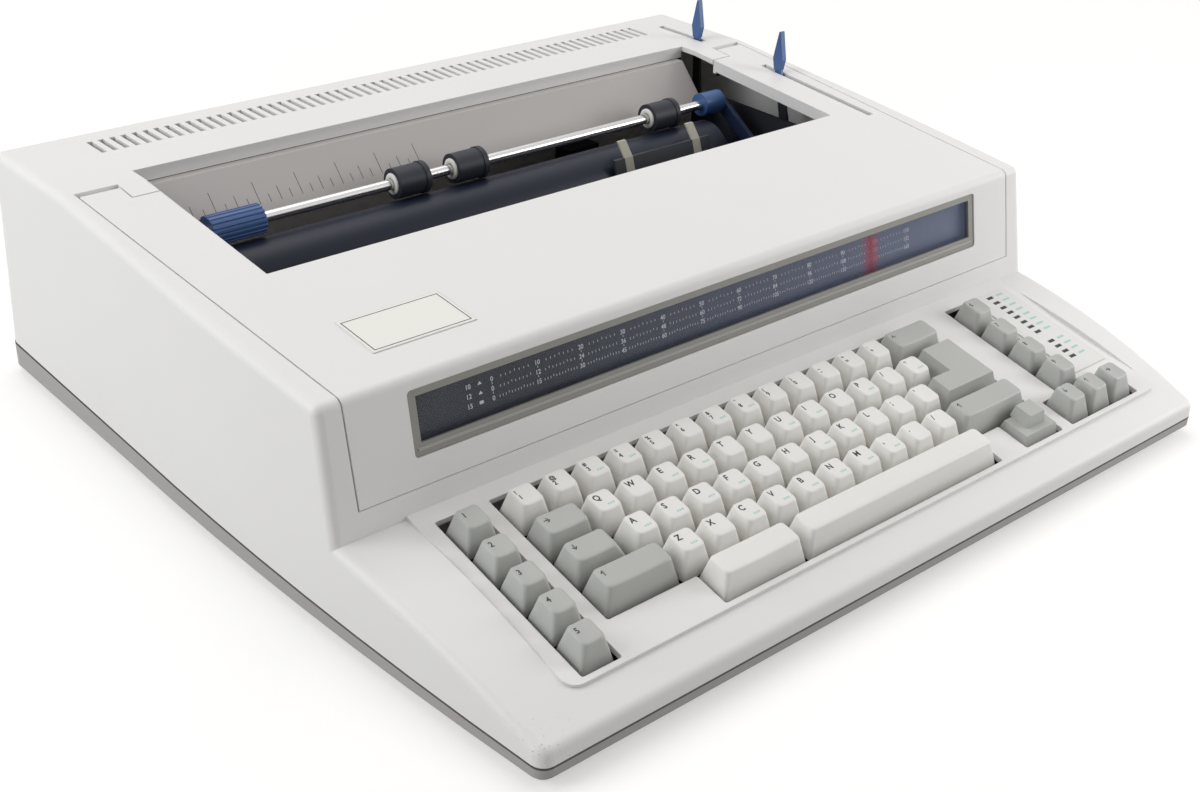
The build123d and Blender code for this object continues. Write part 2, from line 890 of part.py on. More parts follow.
# Circuit board with its chips
with BuildPart() as circuit_board:
    with BuildSketch(Plane.XY.offset(floor_z + board_standoff)):
        with Locations(((board_left + board_right) / 2, (board_front + board_rear) / 2)):
            Rectangle(board_right - board_left, board_rear - board_front)
    extrude(amount=board_thickness)
    with BuildSketch(Plane.XY.offset(floor_z + board_standoff + board_thickness)):
        with GridLocations(chip_pitch, 1, chip_count, 1):
            with Locations((0, board_rear - chip_margin)):
                Rectangle(chip_length, chip_width)
    extrude(amount=chip_height)
save(circuit_board.part, "circuit_board")


# Transformer with its laminated core and its winding
with BuildPart() as transformer:
    with BuildSketch(Plane.XY.offset(floor_z)):
        with Locations((transformer_x, transformer_y)):
            Rectangle(transformer_size[0], transformer_size[1] / 2)
    extrude(amount=transformer_size[2])
    with BuildSketch(Plane.XY.offset(floor_z + transformer_size[2] / 6)):
        with Locations((transformer_x, transformer_y)):
            Rectangle(transformer_size[0] * 0.7, transformer_size[1])
    extrude(amount=transformer_size[2] * 2 / 3)
save(transformer.part, "transformer")


# Mains inlet in the rear wall
with BuildPart() as power_inlet:
    with BuildSketch(Plane.XZ.offset(-inlet_rear)):
        with Locations((inlet_x, inlet_z)):
            Rectangle(inlet_width, inlet_height)
    extrude(amount=inlet_depth)
    with BuildSketch(Plane.XZ.offset(-inlet_rear)):
        with Locations((inlet_x, inlet_z)):
            Rectangle(inlet_width - 6, inlet_height - 6)
    extrude(amount=inlet_depth - 3, mode=Mode.SUBTRACT)
    with BuildSketch(Plane.XZ.offset(-inlet_rear + inlet_depth - 3)):
        with GridLocations(7, 1, 3, 1):
            with Locations((inlet_x, inlet_z)):
                Rectangle(1.6, 5)
    extrude(amount=-10)
save(power_inlet.part, "power_inlet")


# Access cover: front, top and arms in one shell, with flanges, skirt and hinge barrels
with BuildPart() as cover_rim:
    add(outer.part)
    with BuildSketch(Plane.XY.offset(cover_foot_z)):
        add(cover_outline(0))
        add(cover_outline(-flange_thickness), mode=Mode.SUBTRACT)
    extrude(amount=case_depth_over, mode=Mode.INTERSECT)
    add(outer.part.moved(Location((0, cover_flange, -cover_flange))), mode=Mode.SUBTRACT)

with BuildPart() as paper_skirt:
    add(outer.part)
    with BuildSketch(Plane.XY.offset(cover_foot_z)):
        with Locations((0, paper_front - flange_thickness)):
            Rectangle(
                2 * (paper_half_width + flange_thickness),
                cover_arm_rear - paper_front + flange_thickness,
                align=(Align.CENTER, Align.MIN),
            )
    extrude(amount=case_depth_over, mode=Mode.INTERSECT)
    add(outer.part.moved(Location((0, 0, -skirt_depth))), mode=Mode.SUBTRACT)

with BuildPart() as bare_plate:
    add(outer.part.moved(Location((0, 0, plate_relief))))
    with BuildSketch(Plane.XY.offset(top_front_z)):
        with Locations((plate_left, plate_front)):
            Rectangle(plate_width, plate_depth, align=(Align.MIN, Align.MIN))
    extrude(amount=case_wall * 3, mode=Mode.INTERSECT)
    add(outer.part.moved(Location((0, 0, -case_wall / 2))), mode=Mode.SUBTRACT)

window_width = window_right - window_left
window_x = (window_left + window_right) / 2
window_rise = face_v(window_high) - face_v(window_low)
window_v = (face_v(window_high) + face_v(window_low)) / 2
with BuildPart() as access_cover:
    add(outer.part)
    with BuildSketch(Plane.XY.offset(cover_foot_z)):
        add(cover_outline(0))
    extrude(amount=case_depth_over, mode=Mode.INTERSECT)
    add(cover_inner, mode=Mode.SUBTRACT)
    add(cover_rim.part)
    add(paper_skirt.part)
    add(bare_plate.part)
    with BuildSketch(Plane.XY.offset(cover_foot_z)):
        with Locations((0, paper_front)):
            Rectangle(2 * paper_half_width, case_rear, align=(Align.CENTER, Align.MIN))
        with Locations((bail_lever_x, (bail_slot_front + bail_slot_rear) / 2)):
            Rectangle(slot_width, bail_slot_rear - bail_slot_front)
        with Locations((0, hinge_y)):
            Rectangle(full_width, case_rear, align=(Align.CENTER, Align.MIN))
    extrude(amount=case_depth_over, mode=Mode.SUBTRACT)
    for side in (-1, 1):
        with BuildSketch(Plane.YZ.offset(side * tab_inner_x)):
            with Locations((hinge_y, top_z(hinge_y) - barrel_radius)):
                Circle(barrel_radius)
        extrude(amount=side * (cover_half_rear - tab_inner_x - cover_gap))
    with BuildSketch(Plane.YZ):
        with Locations((hinge_y, top_z(hinge_y) - barrel_radius)):
            Circle(hinge_pin_radius + hinge_running)
    extrude(amount=full_width, both=True, mode=Mode.SUBTRACT)
    with BuildSketch(face_plane.offset(case_wall)) as window_hole:
        with Locations((window_x, window_v)):
            Rectangle(window_width, window_rise)
        fillet(window_hole.vertices(), window_corner)
    extrude(amount=-3 * case_wall, mode=Mode.SUBTRACT)
save(access_cover.part, "access_cover")


# Window: bezel from behind, lens and scale strip in its rebate
glass_width = window_width - 2 * bezel_side
glass_rise = window_rise - bezel_low - bezel_high
glass_v = window_v + (bezel_low - bezel_high) / 2
lens_face = bezel_recess + bezel_lip
with BuildPart() as window_bezel:
    with BuildSketch(face_plane.offset(-bezel_recess)) as ring:
        with Locations((window_x, window_v)):
            Rectangle(window_width - 2 * window_fit, window_rise - 2 * window_fit)
        fillet(ring.vertices(), window_corner)
    extrude(amount=bezel_recess - bezel_depth)
    with BuildSketch(face_plane.offset(-cover_wall)):
        with Locations((window_x, window_v)):
            Rectangle(window_width + 2 * bezel_flange, window_rise + 2 * bezel_flange)
    extrude(amount=cover_wall - bezel_depth)
    with BuildSketch(face_plane):
        with Locations((window_x, glass_v)):
            Rectangle(glass_width, glass_rise)
    extrude(amount=-bezel_depth, mode=Mode.SUBTRACT)
    with BuildSketch(face_plane.offset(-lens_face)):
        with Locations((window_x, glass_v)):
            Rectangle(glass_width + 2 * lens_rebate, glass_rise + 2 * lens_rebate)
    extrude(amount=-bezel_depth, mode=Mode.SUBTRACT)
save(window_bezel.part, "window_bezel")

with BuildPart() as window_lens:
    with BuildSketch(face_plane.offset(-lens_face)):
        with Locations((window_x, glass_v)):
            Rectangle(glass_width + 2 * (lens_rebate - lens_fit), glass_rise + 2 * (lens_rebate - lens_fit))
    extrude(amount=-lens_thickness)
save(window_lens.part, "window_lens")

with BuildPart() as scale_strip:
    with BuildSketch(face_plane.offset(-lens_face - lens_thickness)):
        with Locations((window_x, glass_v)):
            Rectangle(glass_width + 2 * (lens_rebate - lens_fit), glass_rise + 2 * (lens_rebate - lens_fit))
    extrude(amount=-scale_thickness)
save(scale_strip.part, "scale_strip")


def gear_outline(teeth, bore, turn):
    """A spur gear seen along its shaft, with straight-sided teeth."""
    pitch_radius = gear_module * teeth / 2
    tip = pitch_radius + 0.85 * gear_module
    root = pitch_radius - 1.15 * gear_module
    half = (math.pi * gear_module / 2 - gear_backlash) / 2
    tip_half = half - 0.85 * gear_module * math.tan(math.radians(22))
    root_half = half + 1.0 * gear_module * math.tan(math.radians(14))
    with BuildSketch() as wheel:
        Circle(root)
        with PolarLocations(0, teeth, start_angle=turn):
            with BuildLine():
                Polyline(
                    (root - 0.5, -root_half),
                    (tip, -tip_half),
                    (tip, tip_half),
                    (root - 0.5, root_half),
                    (root - 0.5, -root_half),
                )
            make_face()
        Circle(bore, mode=Mode.SUBTRACT)
    return wheel.sketch


# Platen drive: gear on the platen's shaft, motor with its pinion below it
centre_distance = gear_module * (gear_teeth + pinion_teeth) / 2
pinion_y = platen_y + centre_distance * math.cos(math.radians(pinion_angle))
pinion_z = platen_z + centre_distance * math.sin(math.radians(pinion_angle))
gear_x = -frame_x - frame_thickness - gear_space
feed_y = platen_y - feed_offset
feed_z = platen_z - math.sqrt((platen_radius + feed_radius + feed_gap) ** 2 - feed_offset ** 2)
frame_outside = frame_x + frame_thickness

with BuildPart() as platen:
    with BuildSketch(Plane.YZ.offset(platen_left)):
        with Locations((platen_y, platen_z)):
            Circle(platen_radius)
    extrude(amount=platen_right - platen_left)
    with BuildSketch(Plane.YZ.offset(gear_x - gear_width)):
        with Locations((platen_y, platen_z)):
            Circle(shaft_radius)
    extrude(amount=frame_outside + 1 - gear_x + gear_width)
save(platen.part, "platen")

with BuildPart() as platen_gear:
    with BuildSketch(Plane.YZ.offset(gear_x - gear_width)):
        with Locations((platen_y, platen_z)):
            add(gear_outline(gear_teeth, shaft_radius + screw_bite, pinion_angle))
    extrude(amount=gear_width)
save(platen_gear.part, "platen_gear")

with BuildPart() as motor_pinion:
    with BuildSketch(Plane.YZ.offset(gear_x - gear_width)):
        with Locations((pinion_y, pinion_z)):
            add(gear_outline(pinion_teeth, motor_shaft_radius / 2, pinion_angle + 180 + 180 / pinion_teeth))
    extrude(amount=gear_width)
    with BuildSketch(Plane.YZ.offset(gear_x - gear_width)):
        with Locations((pinion_y, pinion_z)):
            Circle(motor_shaft_radius)
    extrude(amount=gear_width + gear_space + frame_thickness + motor_length / 2)
save(motor_pinion.part, "motor_pinion")

with BuildPart() as feed_motor:
    with BuildSketch(Plane.YZ.offset(-frame_x)):
        with Locations((pinion_y, pinion_z)):
            Circle(motor_radius)
    extrude(amount=motor_length)
    with BuildSketch(Plane.YZ.offset(-frame_x)):
        with Locations((pinion_y, pinion_z)):
            Circle(motor_shaft_radius + shaft_running)
    extrude(amount=motor_length / 2 + 1, mode=Mode.SUBTRACT)
save(feed_motor.part, "feed_motor")

with BuildPart() as feed_roller:
    with BuildSketch(Plane.YZ.offset(platen_left + feed_end)):
        with Locations((feed_y, feed_z)):
            Circle(feed_radius)
    extrude(amount=platen_right - platen_left - 2 * feed_end)
    with BuildSketch(Plane.YZ.offset(-frame_outside)):
        with Locations((feed_y, feed_z)):
            Circle(pin_radius)
    extrude(amount=2 * frame_outside)
save(feed_roller.part, "feed_roller")


# Side frames that carry platen, bail and rails, with the levers' pivots on the right one
with BuildPart() as side_frames:
    for side in (-1, 1):
        with BuildSketch(Plane.YZ.offset(side * frame_x)):
            with BuildLine():
                Polyline(
                    (frame_front, floor_z),
                    (frame_rear, floor_z),
                    (frame_rear, lever_pivot_z + 12),
                    (platen_y + platen_radius + 12, frame_top),
                    (bail_pivot_y - 16, frame_top),
                    (front_rail_y, rail_z + 12),
                    (frame_front, rail_z + 12),
                    (frame_front, floor_z),
                )
            make_face()
            with Locations((platen_y, platen_z)):
                Circle(shaft_radius + shaft_running, mode=Mode.SUBTRACT)
            with Locations((front_rail_y, rail_z), (rear_rail_y, rail_z)):
                Circle(rail_radius + screw_bite, mode=Mode.SUBTRACT)
            with Locations((bail_pivot_y, bail_pivot_z), (feed_y, feed_z)):
                Circle(pin_radius + pin_running, mode=Mode.SUBTRACT)
            if side < 0:
                with Locations((pinion_y, pinion_z)):
                    Circle(motor_shaft_radius + shaft_running, mode=Mode.SUBTRACT)
        extrude(amount=side * frame_thickness)
    with BuildSketch(Plane.YZ.offset(frame_outside)):
        with Locations((bail_lever_y, lever_pivot_z), (release_lever_y, lever_pivot_z)):
            Circle(pin_radius)
    extrude(amount=bail_lever_x + lever_thickness - frame_outside)
save(side_frames.part, "side_frames")

with BuildPart() as carriage_rails:
    with BuildSketch(Plane.YZ.offset(-frame_outside)):
        with Locations((front_rail_y, rail_z), (rear_rail_y, rail_z)):
            Circle(rail_radius)
    extrude(amount=2 * frame_outside)
save(carriage_rails.part, "carriage_rails")


# Paper bail: rod, two arms and pivot pins
bail_swing = math.hypot(bail_y - bail_pivot_y, bail_z - bail_pivot_z)
bail_angle = math.degrees(math.atan2(bail_z - bail_pivot_z, bail_y - bail_pivot_y))
with BuildPart() as paper_bail:
    with BuildSketch(Plane.YZ.offset(-bail_arm_x)):
        with Locations((bail_y, bail_z)):
            Circle(bail_rod_radius)
    extrude(amount=2 * bail_arm_x)
    for side in (-1, 1):
        with BuildSketch(Plane.YZ.offset(side * (bail_arm_x - bail_arm_thickness / 2))):
            with Locations(Location(((bail_y + bail_pivot_y) / 2, (bail_z + bail_pivot_z) / 2), bail_angle)):
                SlotCenterToCenter(bail_swing, bail_arm_width)
        extrude(amount=side * bail_arm_thickness)
        with BuildSketch(Plane.YZ.offset(side * bail_arm_x)):
            with Locations((bail_pivot_y, bail_pivot_z)):
                Circle(pin_radius)
        extrude(amount=side * (frame_outside - bail_arm_x))
save(paper_bail.part, "paper_bail")

with BuildPart() as bail_knobs:
    with BuildSketch(Plane.YZ.offset(knob_left)):
        with Locations((bail_y, bail_z)):
            Circle(knob_radius)
            with PolarLocations(knob_radius + 0.1, knob_flutes):
                Circle(0.7, mode=Mode.SUBTRACT)
            Circle(bail_rod_radius + screw_bite, mode=Mode.SUBTRACT)
    extrude(amount=knob_right - knob_left)
    with BuildSketch(Plane.YZ.offset(cap_left)):
        with Locations((bail_y, bail_z)):
            Circle(cap_radius)
            Circle(bail_rod_radius + screw_bite, mode=Mode.SUBTRACT)
    extrude(amount=bail_arm_x - bail_arm_thickness / 2 - cap_left)
save(bail_knobs.part, "bail_knobs")

for name, centre in zip(("left", "middle", "right"), roller_centres):
    with BuildPart() as roller:
        with BuildSketch(Plane.YZ.offset(centre - roller_length / 2)):
            with Locations((bail_y, bail_z)):
                Circle(roller_radius)
                Circle(bail_rod_radius + roller_running, mode=Mode.SUBTRACT)
        extrude(amount=roller_length)
        with BuildSketch(Plane.YZ.offset(centre + roller_length / 2 - roller_flange)):
            with Locations((bail_y, bail_z)):
                Circle(roller_flange_radius)
                Circle(bail_rod_radius + roller_running, mode=Mode.SUBTRACT)
        extrude(amount=roller_flange)
    save(roller.part, "bail_roller_" + name)


def lever(x, pivot_y, head_y, head_lift):
    """A flat lever on its pivot, with a faceted head above its slot."""
    neck = top_z(head_y) + head_lift
    with BuildPart() as piece:
        with BuildSketch(Plane.YZ.offset(x - lever_thickness / 2)):
            with Locations((pivot_y, lever_pivot_z)):
                Circle(lever_shoulder)
            with BuildLine():
                Polyline(
                    (pivot_y - lever_neck, lever_pivot_z),
                    (pivot_y + lever_neck, lever_pivot_z),
                    (head_y + lever_neck / 2, neck + 1),
                    (head_y - lever_neck / 2, neck + 1),
                    (pivot_y - lever_neck, lever_pivot_z),
                )
            make_face()
            with Locations((pivot_y, lever_pivot_z)):
                Circle(pin_radius + pin_running, mode=Mode.SUBTRACT)
        extrude(amount=lever_thickness)
        with BuildSketch(Plane.YZ.offset(x - lever_top_width / 2)):
            with BuildLine():
                Polyline(
                    (head_y - lever_neck / 2, neck),
                    (head_y + lever_neck / 2, neck),
                    (head_y + lever_shoulder / 2, neck + lever_shoulder_rise),
                    (head_y + 0.6, neck + lever_tip_rise),
                    (head_y - 0.6, neck + lever_tip_rise),
                    (head_y - lever_shoulder / 2, neck + lever_shoulder_rise),
                    (head_y - lever_neck / 2, neck),
                )
            make_face()
        extrude(amount=lever_top_width)
    return piece.part


save(lever(bail_lever_x, bail_lever_y, bail_head_y, head_lift), "bail_lever")
save(lever(release_lever_x, release_lever_y, release_head_y, head_lift), "paper_release_lever")


# Carriage: frame on two rails, with ribbon, pointer, card holder, print wheel and hammer
carriage_left = carriage_x - carriage_half_width
carriage_right = carriage_x + carriage_half_width
with BuildPart() as carriage_frame:
    for x in (carriage_left, carriage_right - sheet):
        with BuildSketch(Plane.YZ.offset(x)):
            with Locations((carriage_front, carriage_low)):
                Rectangle(carriage_rear - carriage_front, carriage_top - carriage_low, align=(Align.MIN, Align.MIN))
        extrude(amount=sheet)
    with BuildSketch(Plane.XY.offset(carriage_top - sheet)):
        with Locations((carriage_x, carriage_front)):
            Rectangle(2 * carriage_half_width, carriage_rear - carriage_front, align=(Align.CENTER, Align.MIN))
    extrude(amount=sheet)
    with BuildSketch(Plane.XZ.offset(-carriage_rear)):
        with Locations((carriage_x, carriage_low)):
            Rectangle(2 * carriage_half_width, carriage_top - carriage_low, align=(Align.CENTER, Align.MIN))
    extrude(amount=sheet)
    with BuildSketch(Plane.XZ.offset(-carriage_rear)):
        with Locations((carriage_x, wheel_z)):
            Circle(pin_radius + pin_running)
        with Locations((carriage_x, print_z)):
            Circle(hammer_radius + pin_running)
    extrude(amount=2 * sheet, mode=Mode.SUBTRACT)
    with BuildSketch(Plane.YZ.offset(carriage_left)):
        with Locations((front_rail_y, rail_z), (rear_rail_y, rail_z)):
            Circle(rail_radius + rail_running)
    extrude(amount=2 * carriage_half_width, mode=Mode.SUBTRACT)
save(carriage_frame.part, "carriage_frame")

with BuildPart() as ribbon_cassette:
    with BuildSketch(Plane.XY.offset(carriage_top)) as shell:
        with Locations((carriage_x, cassette_front)):
            Rectangle(cassette_width, cassette_depth, align=(Align.CENTER, Align.MIN))
        fillet(shell.vertices(), 6)
    extrude(amount=cassette_height)
    chamfer(ribbon_cassette.faces().sort_by(Axis.Z)[-1].edges(), 1)
save(ribbon_cassette.part, "ribbon_cassette")

with BuildPart() as position_pointer:
    with BuildSketch(Plane.XY.offset(carriage_top)):
        with Locations((carriage_x, pointer_y)):
            Rectangle(pointer_arm, carriage_front + 12 - pointer_y, align=(Align.CENTER, Align.MIN))
    extrude(amount=pointer_thickness)
    with BuildSketch(Plane.XZ.offset(-pointer_y)):
        with BuildLine():
            Polyline(
                (carriage_x - pointer_arm / 2, carriage_top),
                (carriage_x + pointer_arm / 2, carriage_top),
                (carriage_x + 0.5, pointer_top),
                (carriage_x - 0.5, pointer_top),
                (carriage_x - pointer_arm / 2, carriage_top),
            )
        make_face()
    extrude(amount=-pointer_thickness)
save(position_pointer.part, "position_pointer")

with BuildPart() as paper_fingers:
    for x in (carriage_x - holder_half, carriage_x + holder_half - holder_arm):
        with BuildSketch(Plane.XY.offset(carriage_top)):
            with Locations((x, carriage_rear - 8)):
                Rectangle(holder_arm, holder_y - carriage_rear + 8 + sheet, align=(Align.MIN, Align.MIN))
        extrude(amount=sheet)
    with BuildSketch(Plane.YZ.offset(carriage_x - holder_half)):
        with BuildLine():
            Polyline(
                (holder_y, carriage_top),
                (holder_y + holder_thickness, carriage_top),
                (holder_y + holder_thickness + holder_rake, holder_top),
                (holder_y + holder_rake, holder_top),
                (holder_y, carriage_top),
            )
        make_face()
    extrude(amount=2 * holder_half)
    for x in (carriage_x - finger_x, carriage_x + finger_x):
        with BuildSketch(Plane.YZ.offset(x - finger_width / 2)):
            with BuildLine():
                Polyline(
                    (holder_y + holder_rake, holder_top),
                    (holder_y + holder_rake + holder_thickness, holder_top),
                    (finger_y + holder_thickness, finger_top),
                    (finger_y, finger_top),
                    (holder_y + holder_rake, holder_top),
                )
            make_face()
        extrude(amount=finger_width)
save(paper_fingers.part, "paper_fingers")

with BuildPart() as print_wheel:
    with BuildSketch(Plane.XZ.offset(-wheel_y - wheel_thickness / 2)):
        with Locations((carriage_x, wheel_z)):
            Circle(wheel_radius)
            with PolarLocations((wheel_radius + wheel_hub_radius) / 2 + 3, petal_count):
                Rectangle(wheel_radius - wheel_hub_radius - 3, 0.9, mode=Mode.SUBTRACT)
    extrude(amount=wheel_thickness)
    with BuildSketch(Plane.XZ.offset(-wheel_y - wheel_thickness / 2)):
        with Locations((carriage_x, wheel_z)):
            Circle(wheel_hub_radius)
    extrude(amount=wheel_thickness + 3)
    with BuildSketch(Plane.XZ.offset(-wheel_y)):
        with Locations((carriage_x, wheel_z)):
            Circle(pin_radius)
    extrude(amount=wheel_y - carriage_rear + 2 * sheet)
save(print_wheel.part, "print_wheel")

with BuildPart() as print_hammer:
    with BuildSketch(Plane.XZ.offset(-hammer_y - hammer_length)):
        with Locations((carriage_x, print_z)):
            Circle(hammer_radius)
    extrude(amount=hammer_length)
save(print_hammer.part, "print_hammer")


# Carriage drive: motor with its pulley, idler and belt
with BuildPart() as carriage_motor:
    with BuildSketch(Plane.XY.offset(floor_z)):
        with Locations((-pulley_x, 0)):
            Circle(drive_motor_radius)
    extrude(amount=belt_z - floor_z - 2)
    with BuildSketch(Plane.XY.offset(floor_z)):
        with Locations((-pulley_x, 0)):
            Circle(pulley_radius - screw_bite)
    extrude(amount=belt_z + belt_height - floor_z)
save(carriage_motor.part, "carriage_motor")

with BuildPart() as belt_idler:
    with BuildSketch(Plane.XY.offset(floor_z)):
        with Locations((pulley_x, 0)):
            Circle(pulley_radius - screw_bite)
    extrude(amount=belt_z + belt_height - floor_z)
save(belt_idler.part, "belt_idler")

with BuildPart() as drive_belt:
    with BuildSketch(Plane.XY.offset(belt_z)):
        SlotCenterToCenter(2 * pulley_x, 2 * (pulley_radius + belt_thickness))
        SlotCenterToCenter(2 * pulley_x, 2 * pulley_radius, mode=Mode.SUBTRACT)
    extrude(amount=belt_height)
save(drive_belt.part, "drive_belt")


# Paper rest behind the platen, hung on the rear edge of the paper opening
with BuildPart() as paper_rest:
    with BuildSketch(Plane.YZ.offset(-rest_half_width)):
        with BuildLine():
            Polyline(
                (rest_low_y, rest_low_z),
                (rest_high_y, rest_high_z),
                (paper_rear, rest_high_z),
                (paper_rear, rest_high_z - rest_thickness),
                (rest_high_y + rest_thickness / 2, rest_high_z - rest_thickness),
                (rest_low_y + rest_thickness, rest_low_z),
                (rest_low_y, rest_low_z),
            )
        make_face()
    extrude(amount=2 * rest_half_width)
save(paper_rest.part, "paper_rest")
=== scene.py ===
import json
import math

import bpy
from mathutils import Matrix, Vector


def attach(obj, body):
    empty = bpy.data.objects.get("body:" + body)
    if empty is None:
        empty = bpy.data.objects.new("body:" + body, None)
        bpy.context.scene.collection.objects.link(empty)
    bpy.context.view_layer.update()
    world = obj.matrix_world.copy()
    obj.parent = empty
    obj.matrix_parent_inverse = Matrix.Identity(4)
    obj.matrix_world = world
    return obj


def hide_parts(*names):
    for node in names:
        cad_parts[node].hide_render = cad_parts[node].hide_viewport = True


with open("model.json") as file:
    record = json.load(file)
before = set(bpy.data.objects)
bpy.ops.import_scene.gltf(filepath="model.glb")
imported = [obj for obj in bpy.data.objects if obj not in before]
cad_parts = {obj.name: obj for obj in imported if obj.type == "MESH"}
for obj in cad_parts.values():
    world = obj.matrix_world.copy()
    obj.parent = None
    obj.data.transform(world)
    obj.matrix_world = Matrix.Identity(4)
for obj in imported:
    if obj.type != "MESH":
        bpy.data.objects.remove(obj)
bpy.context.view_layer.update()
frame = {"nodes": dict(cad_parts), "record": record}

MM = 0.001

# Sizes shared with the solid parts, in millimetres.
KEY_SLOPE = math.radians(12.3)
KEY_ORIGIN = Vector((-156.0, -126.0, 53.0))
PITCH = 19.05
CAP_GAP = 0.9
SIDE_RUN = 3.4
FRONT_RUN = 5.6
REAR_RUN = 0.4
TOP_DEPTH = 11.8
CAP_HEIGHT = 13.0
STEM_SIZE = 4.4
STEM_REACH = 23.0
DISH = 0.5
ROW_FRONT = (0.0, -19.05, -38.1, -57.15, -75.6)
ROW_RISE = (0.0, -0.8, -0.3, 0.9, 0.0)
LEFT_COLUMN = -28.6
RIGHT_COLUMN = 313.0
CLUSTER = 298.0

CARRIAGE_X = 109.0
FINGER_X = 27.0
BAIL_Y = 104.0
BAIL_Z = 105.0
ROLLERS = (("roller_left", -54.0), ("roller_middle", -15.0), ("roller_right", 131.0))
ROLLER_LENGTH = 20.0
ISLAND_DROP = 9.0
PANEL_THICKNESS = 0.8

KEY_X = Vector((1, 0, 0))
KEY_Y = Vector((0, math.cos(KEY_SLOPE), math.sin(KEY_SLOPE)))
KEY_UP = Vector((0, -math.sin(KEY_SLOPE), math.cos(KEY_SLOPE)))

TOP_FRONT = Vector((0, -86.6, 108.2))
LEDGE = Vector((0, -98.5, 48.0))
LEAN = math.atan2(TOP_FRONT.z - LEDGE.z, TOP_FRONT.y - LEDGE.y)
FACE_UP = Vector((0, math.cos(LEAN), math.sin(LEAN)))
FACE_OUT = Vector((0, -math.sin(LEAN), math.cos(LEAN)))
TOP_SLOPE = math.radians(4.76)
SEAM_SLOPE = math.radians(1.1)
SEAM_Y = -224.5
SEAM_Z = 10.6
TOP_UP = Vector((0, math.cos(TOP_SLOPE), math.sin(TOP_SLOPE)))
TOP_OUT = Vector((0, -TOP_UP.z, TOP_UP.y))


def top_point(x, y, out):
    """A place on the sloping top of the cover, in metres; y is level, in millimetres."""
    return (TOP_FRONT + KEY_X * x + TOP_UP * ((y - TOP_FRONT.y) / TOP_UP.y) + TOP_OUT * out) * MM


def key_point(x, y, h):
    """A place on the keyboard, in metres."""
    return (KEY_ORIGIN + KEY_X * x + KEY_Y * y + KEY_UP * h) * MM


def face_point(x, v, out):
    """A place on the leaning front face of the cover, in metres."""
    return (TOP_FRONT + KEY_X * x + FACE_UP * v + FACE_OUT * out) * MM


# Materials

GRAIN_SCALE = 1800.0
MOTTLE_SCALE = 22.0


def new_material(name):
    """An empty node material with its output."""
    made = bpy.data.materials.new(name)
    made.use_nodes = True
    nodes = made.node_tree.nodes
    nodes.clear()
    output = nodes.new("ShaderNodeOutputMaterial")
    shader = nodes.new("ShaderNodeBsdfPrincipled")
    made.node_tree.links.new(shader.outputs["BSDF"], output.inputs["Surface"])
    return made, shader


def noise(tree, scale, detail, rough):
    """Noise over the object's own coordinates."""
    place = tree.nodes.new("ShaderNodeTexCoord")
    texture = tree.nodes.new("ShaderNodeTexNoise")
    texture.inputs["Scale"].default_value = scale
    texture.inputs["Detail"].default_value = detail
    texture.inputs["Roughness"].default_value = rough
    tree.links.new(place.outputs["Object"], texture.inputs["Vector"])
    return texture


def surface(name, color, rough, metal=0.0, grain=0.0, mottle=0.03, edge=0.3, sheen=0.5):
    """A surface with slight mottling, a fine grain and softened edges."""
    made, shader = new_material(name)
    tree = made.node_tree
    shader.inputs["Metallic"].default_value = metal
    shader.inputs["Roughness"].default_value = rough
    shader.inputs["Specular IOR Level"].default_value = sheen
    if mottle:
        texture = noise(tree, MOTTLE_SCALE, 4.0, 0.6)
        ramp = tree.nodes.new("ShaderNodeMix")
        ramp.data_type = "RGBA"
        ramp.inputs["A"].default_value = [max(0.0, c * (1 - mottle)) for c in color] + [1]
        ramp.inputs["B"].default_value = [min(1.0, c * (1 + mottle)) for c in color] + [1]
        tree.links.new(texture.outputs["Fac"], ramp.inputs["Factor"])
        tree.links.new(ramp.outputs["Result"], shader.inputs["Base Color"])
    else:
        shader.inputs["Base Color"].default_value = list(color) + [1]
    bevel = tree.nodes.new("ShaderNodeBevel")
    bevel.samples = 4
    bevel.inputs["Radius"].default_value = edge * MM
    if grain:
        fine = noise(tree, GRAIN_SCALE, 2.0, 0.6)
        bump = tree.nodes.new("ShaderNodeBump")
        bump.inputs["Strength"].default_value = grain
        bump.inputs["Distance"].default_value = 0.1 * MM
        tree.links.new(fine.outputs["Fac"], bump.inputs["Height"])
        tree.links.new(bevel.outputs["Normal"], bump.inputs["Normal"])
        tree.links.new(bump.outputs["Normal"], shader.inputs["Normal"])
    else:
        tree.links.new(bevel.outputs["Normal"], shader.inputs["Normal"])
    return made


def glass(name, color, clear, rough):
    """Tinted clear plastic: part see-through, part coloured sheen."""
    made, shader = new_material(name)
    tree = made.node_tree
    shader.inputs["Base Color"].default_value = list(color) + [1]
    shader.inputs["Roughness"].default_value = rough
    hole = tree.nodes.new("ShaderNodeBsdfTransparent")
    mix = tree.nodes.new("ShaderNodeMixShader")
    mix.inputs["Fac"].default_value = 1 - clear
    output = [n for n in tree.nodes if n.type == "OUTPUT_MATERIAL"][0]
    tree.links.new(hole.outputs["BSDF"], mix.inputs[1])
    tree.links.new(shader.outputs["BSDF"], mix.inputs[2])
    tree.links.new(mix.outputs["Shader"], output.inputs["Surface"])
    return made


def own_axes(tree):
    """The object's own X, Y and Z, in metres."""
    place = tree.nodes.new("ShaderNodeTexCoord")
    split = tree.nodes.new("ShaderNodeSeparateXYZ")
    tree.links.new(place.outputs["Object"], split.inputs["Vector"])
    return split.outputs


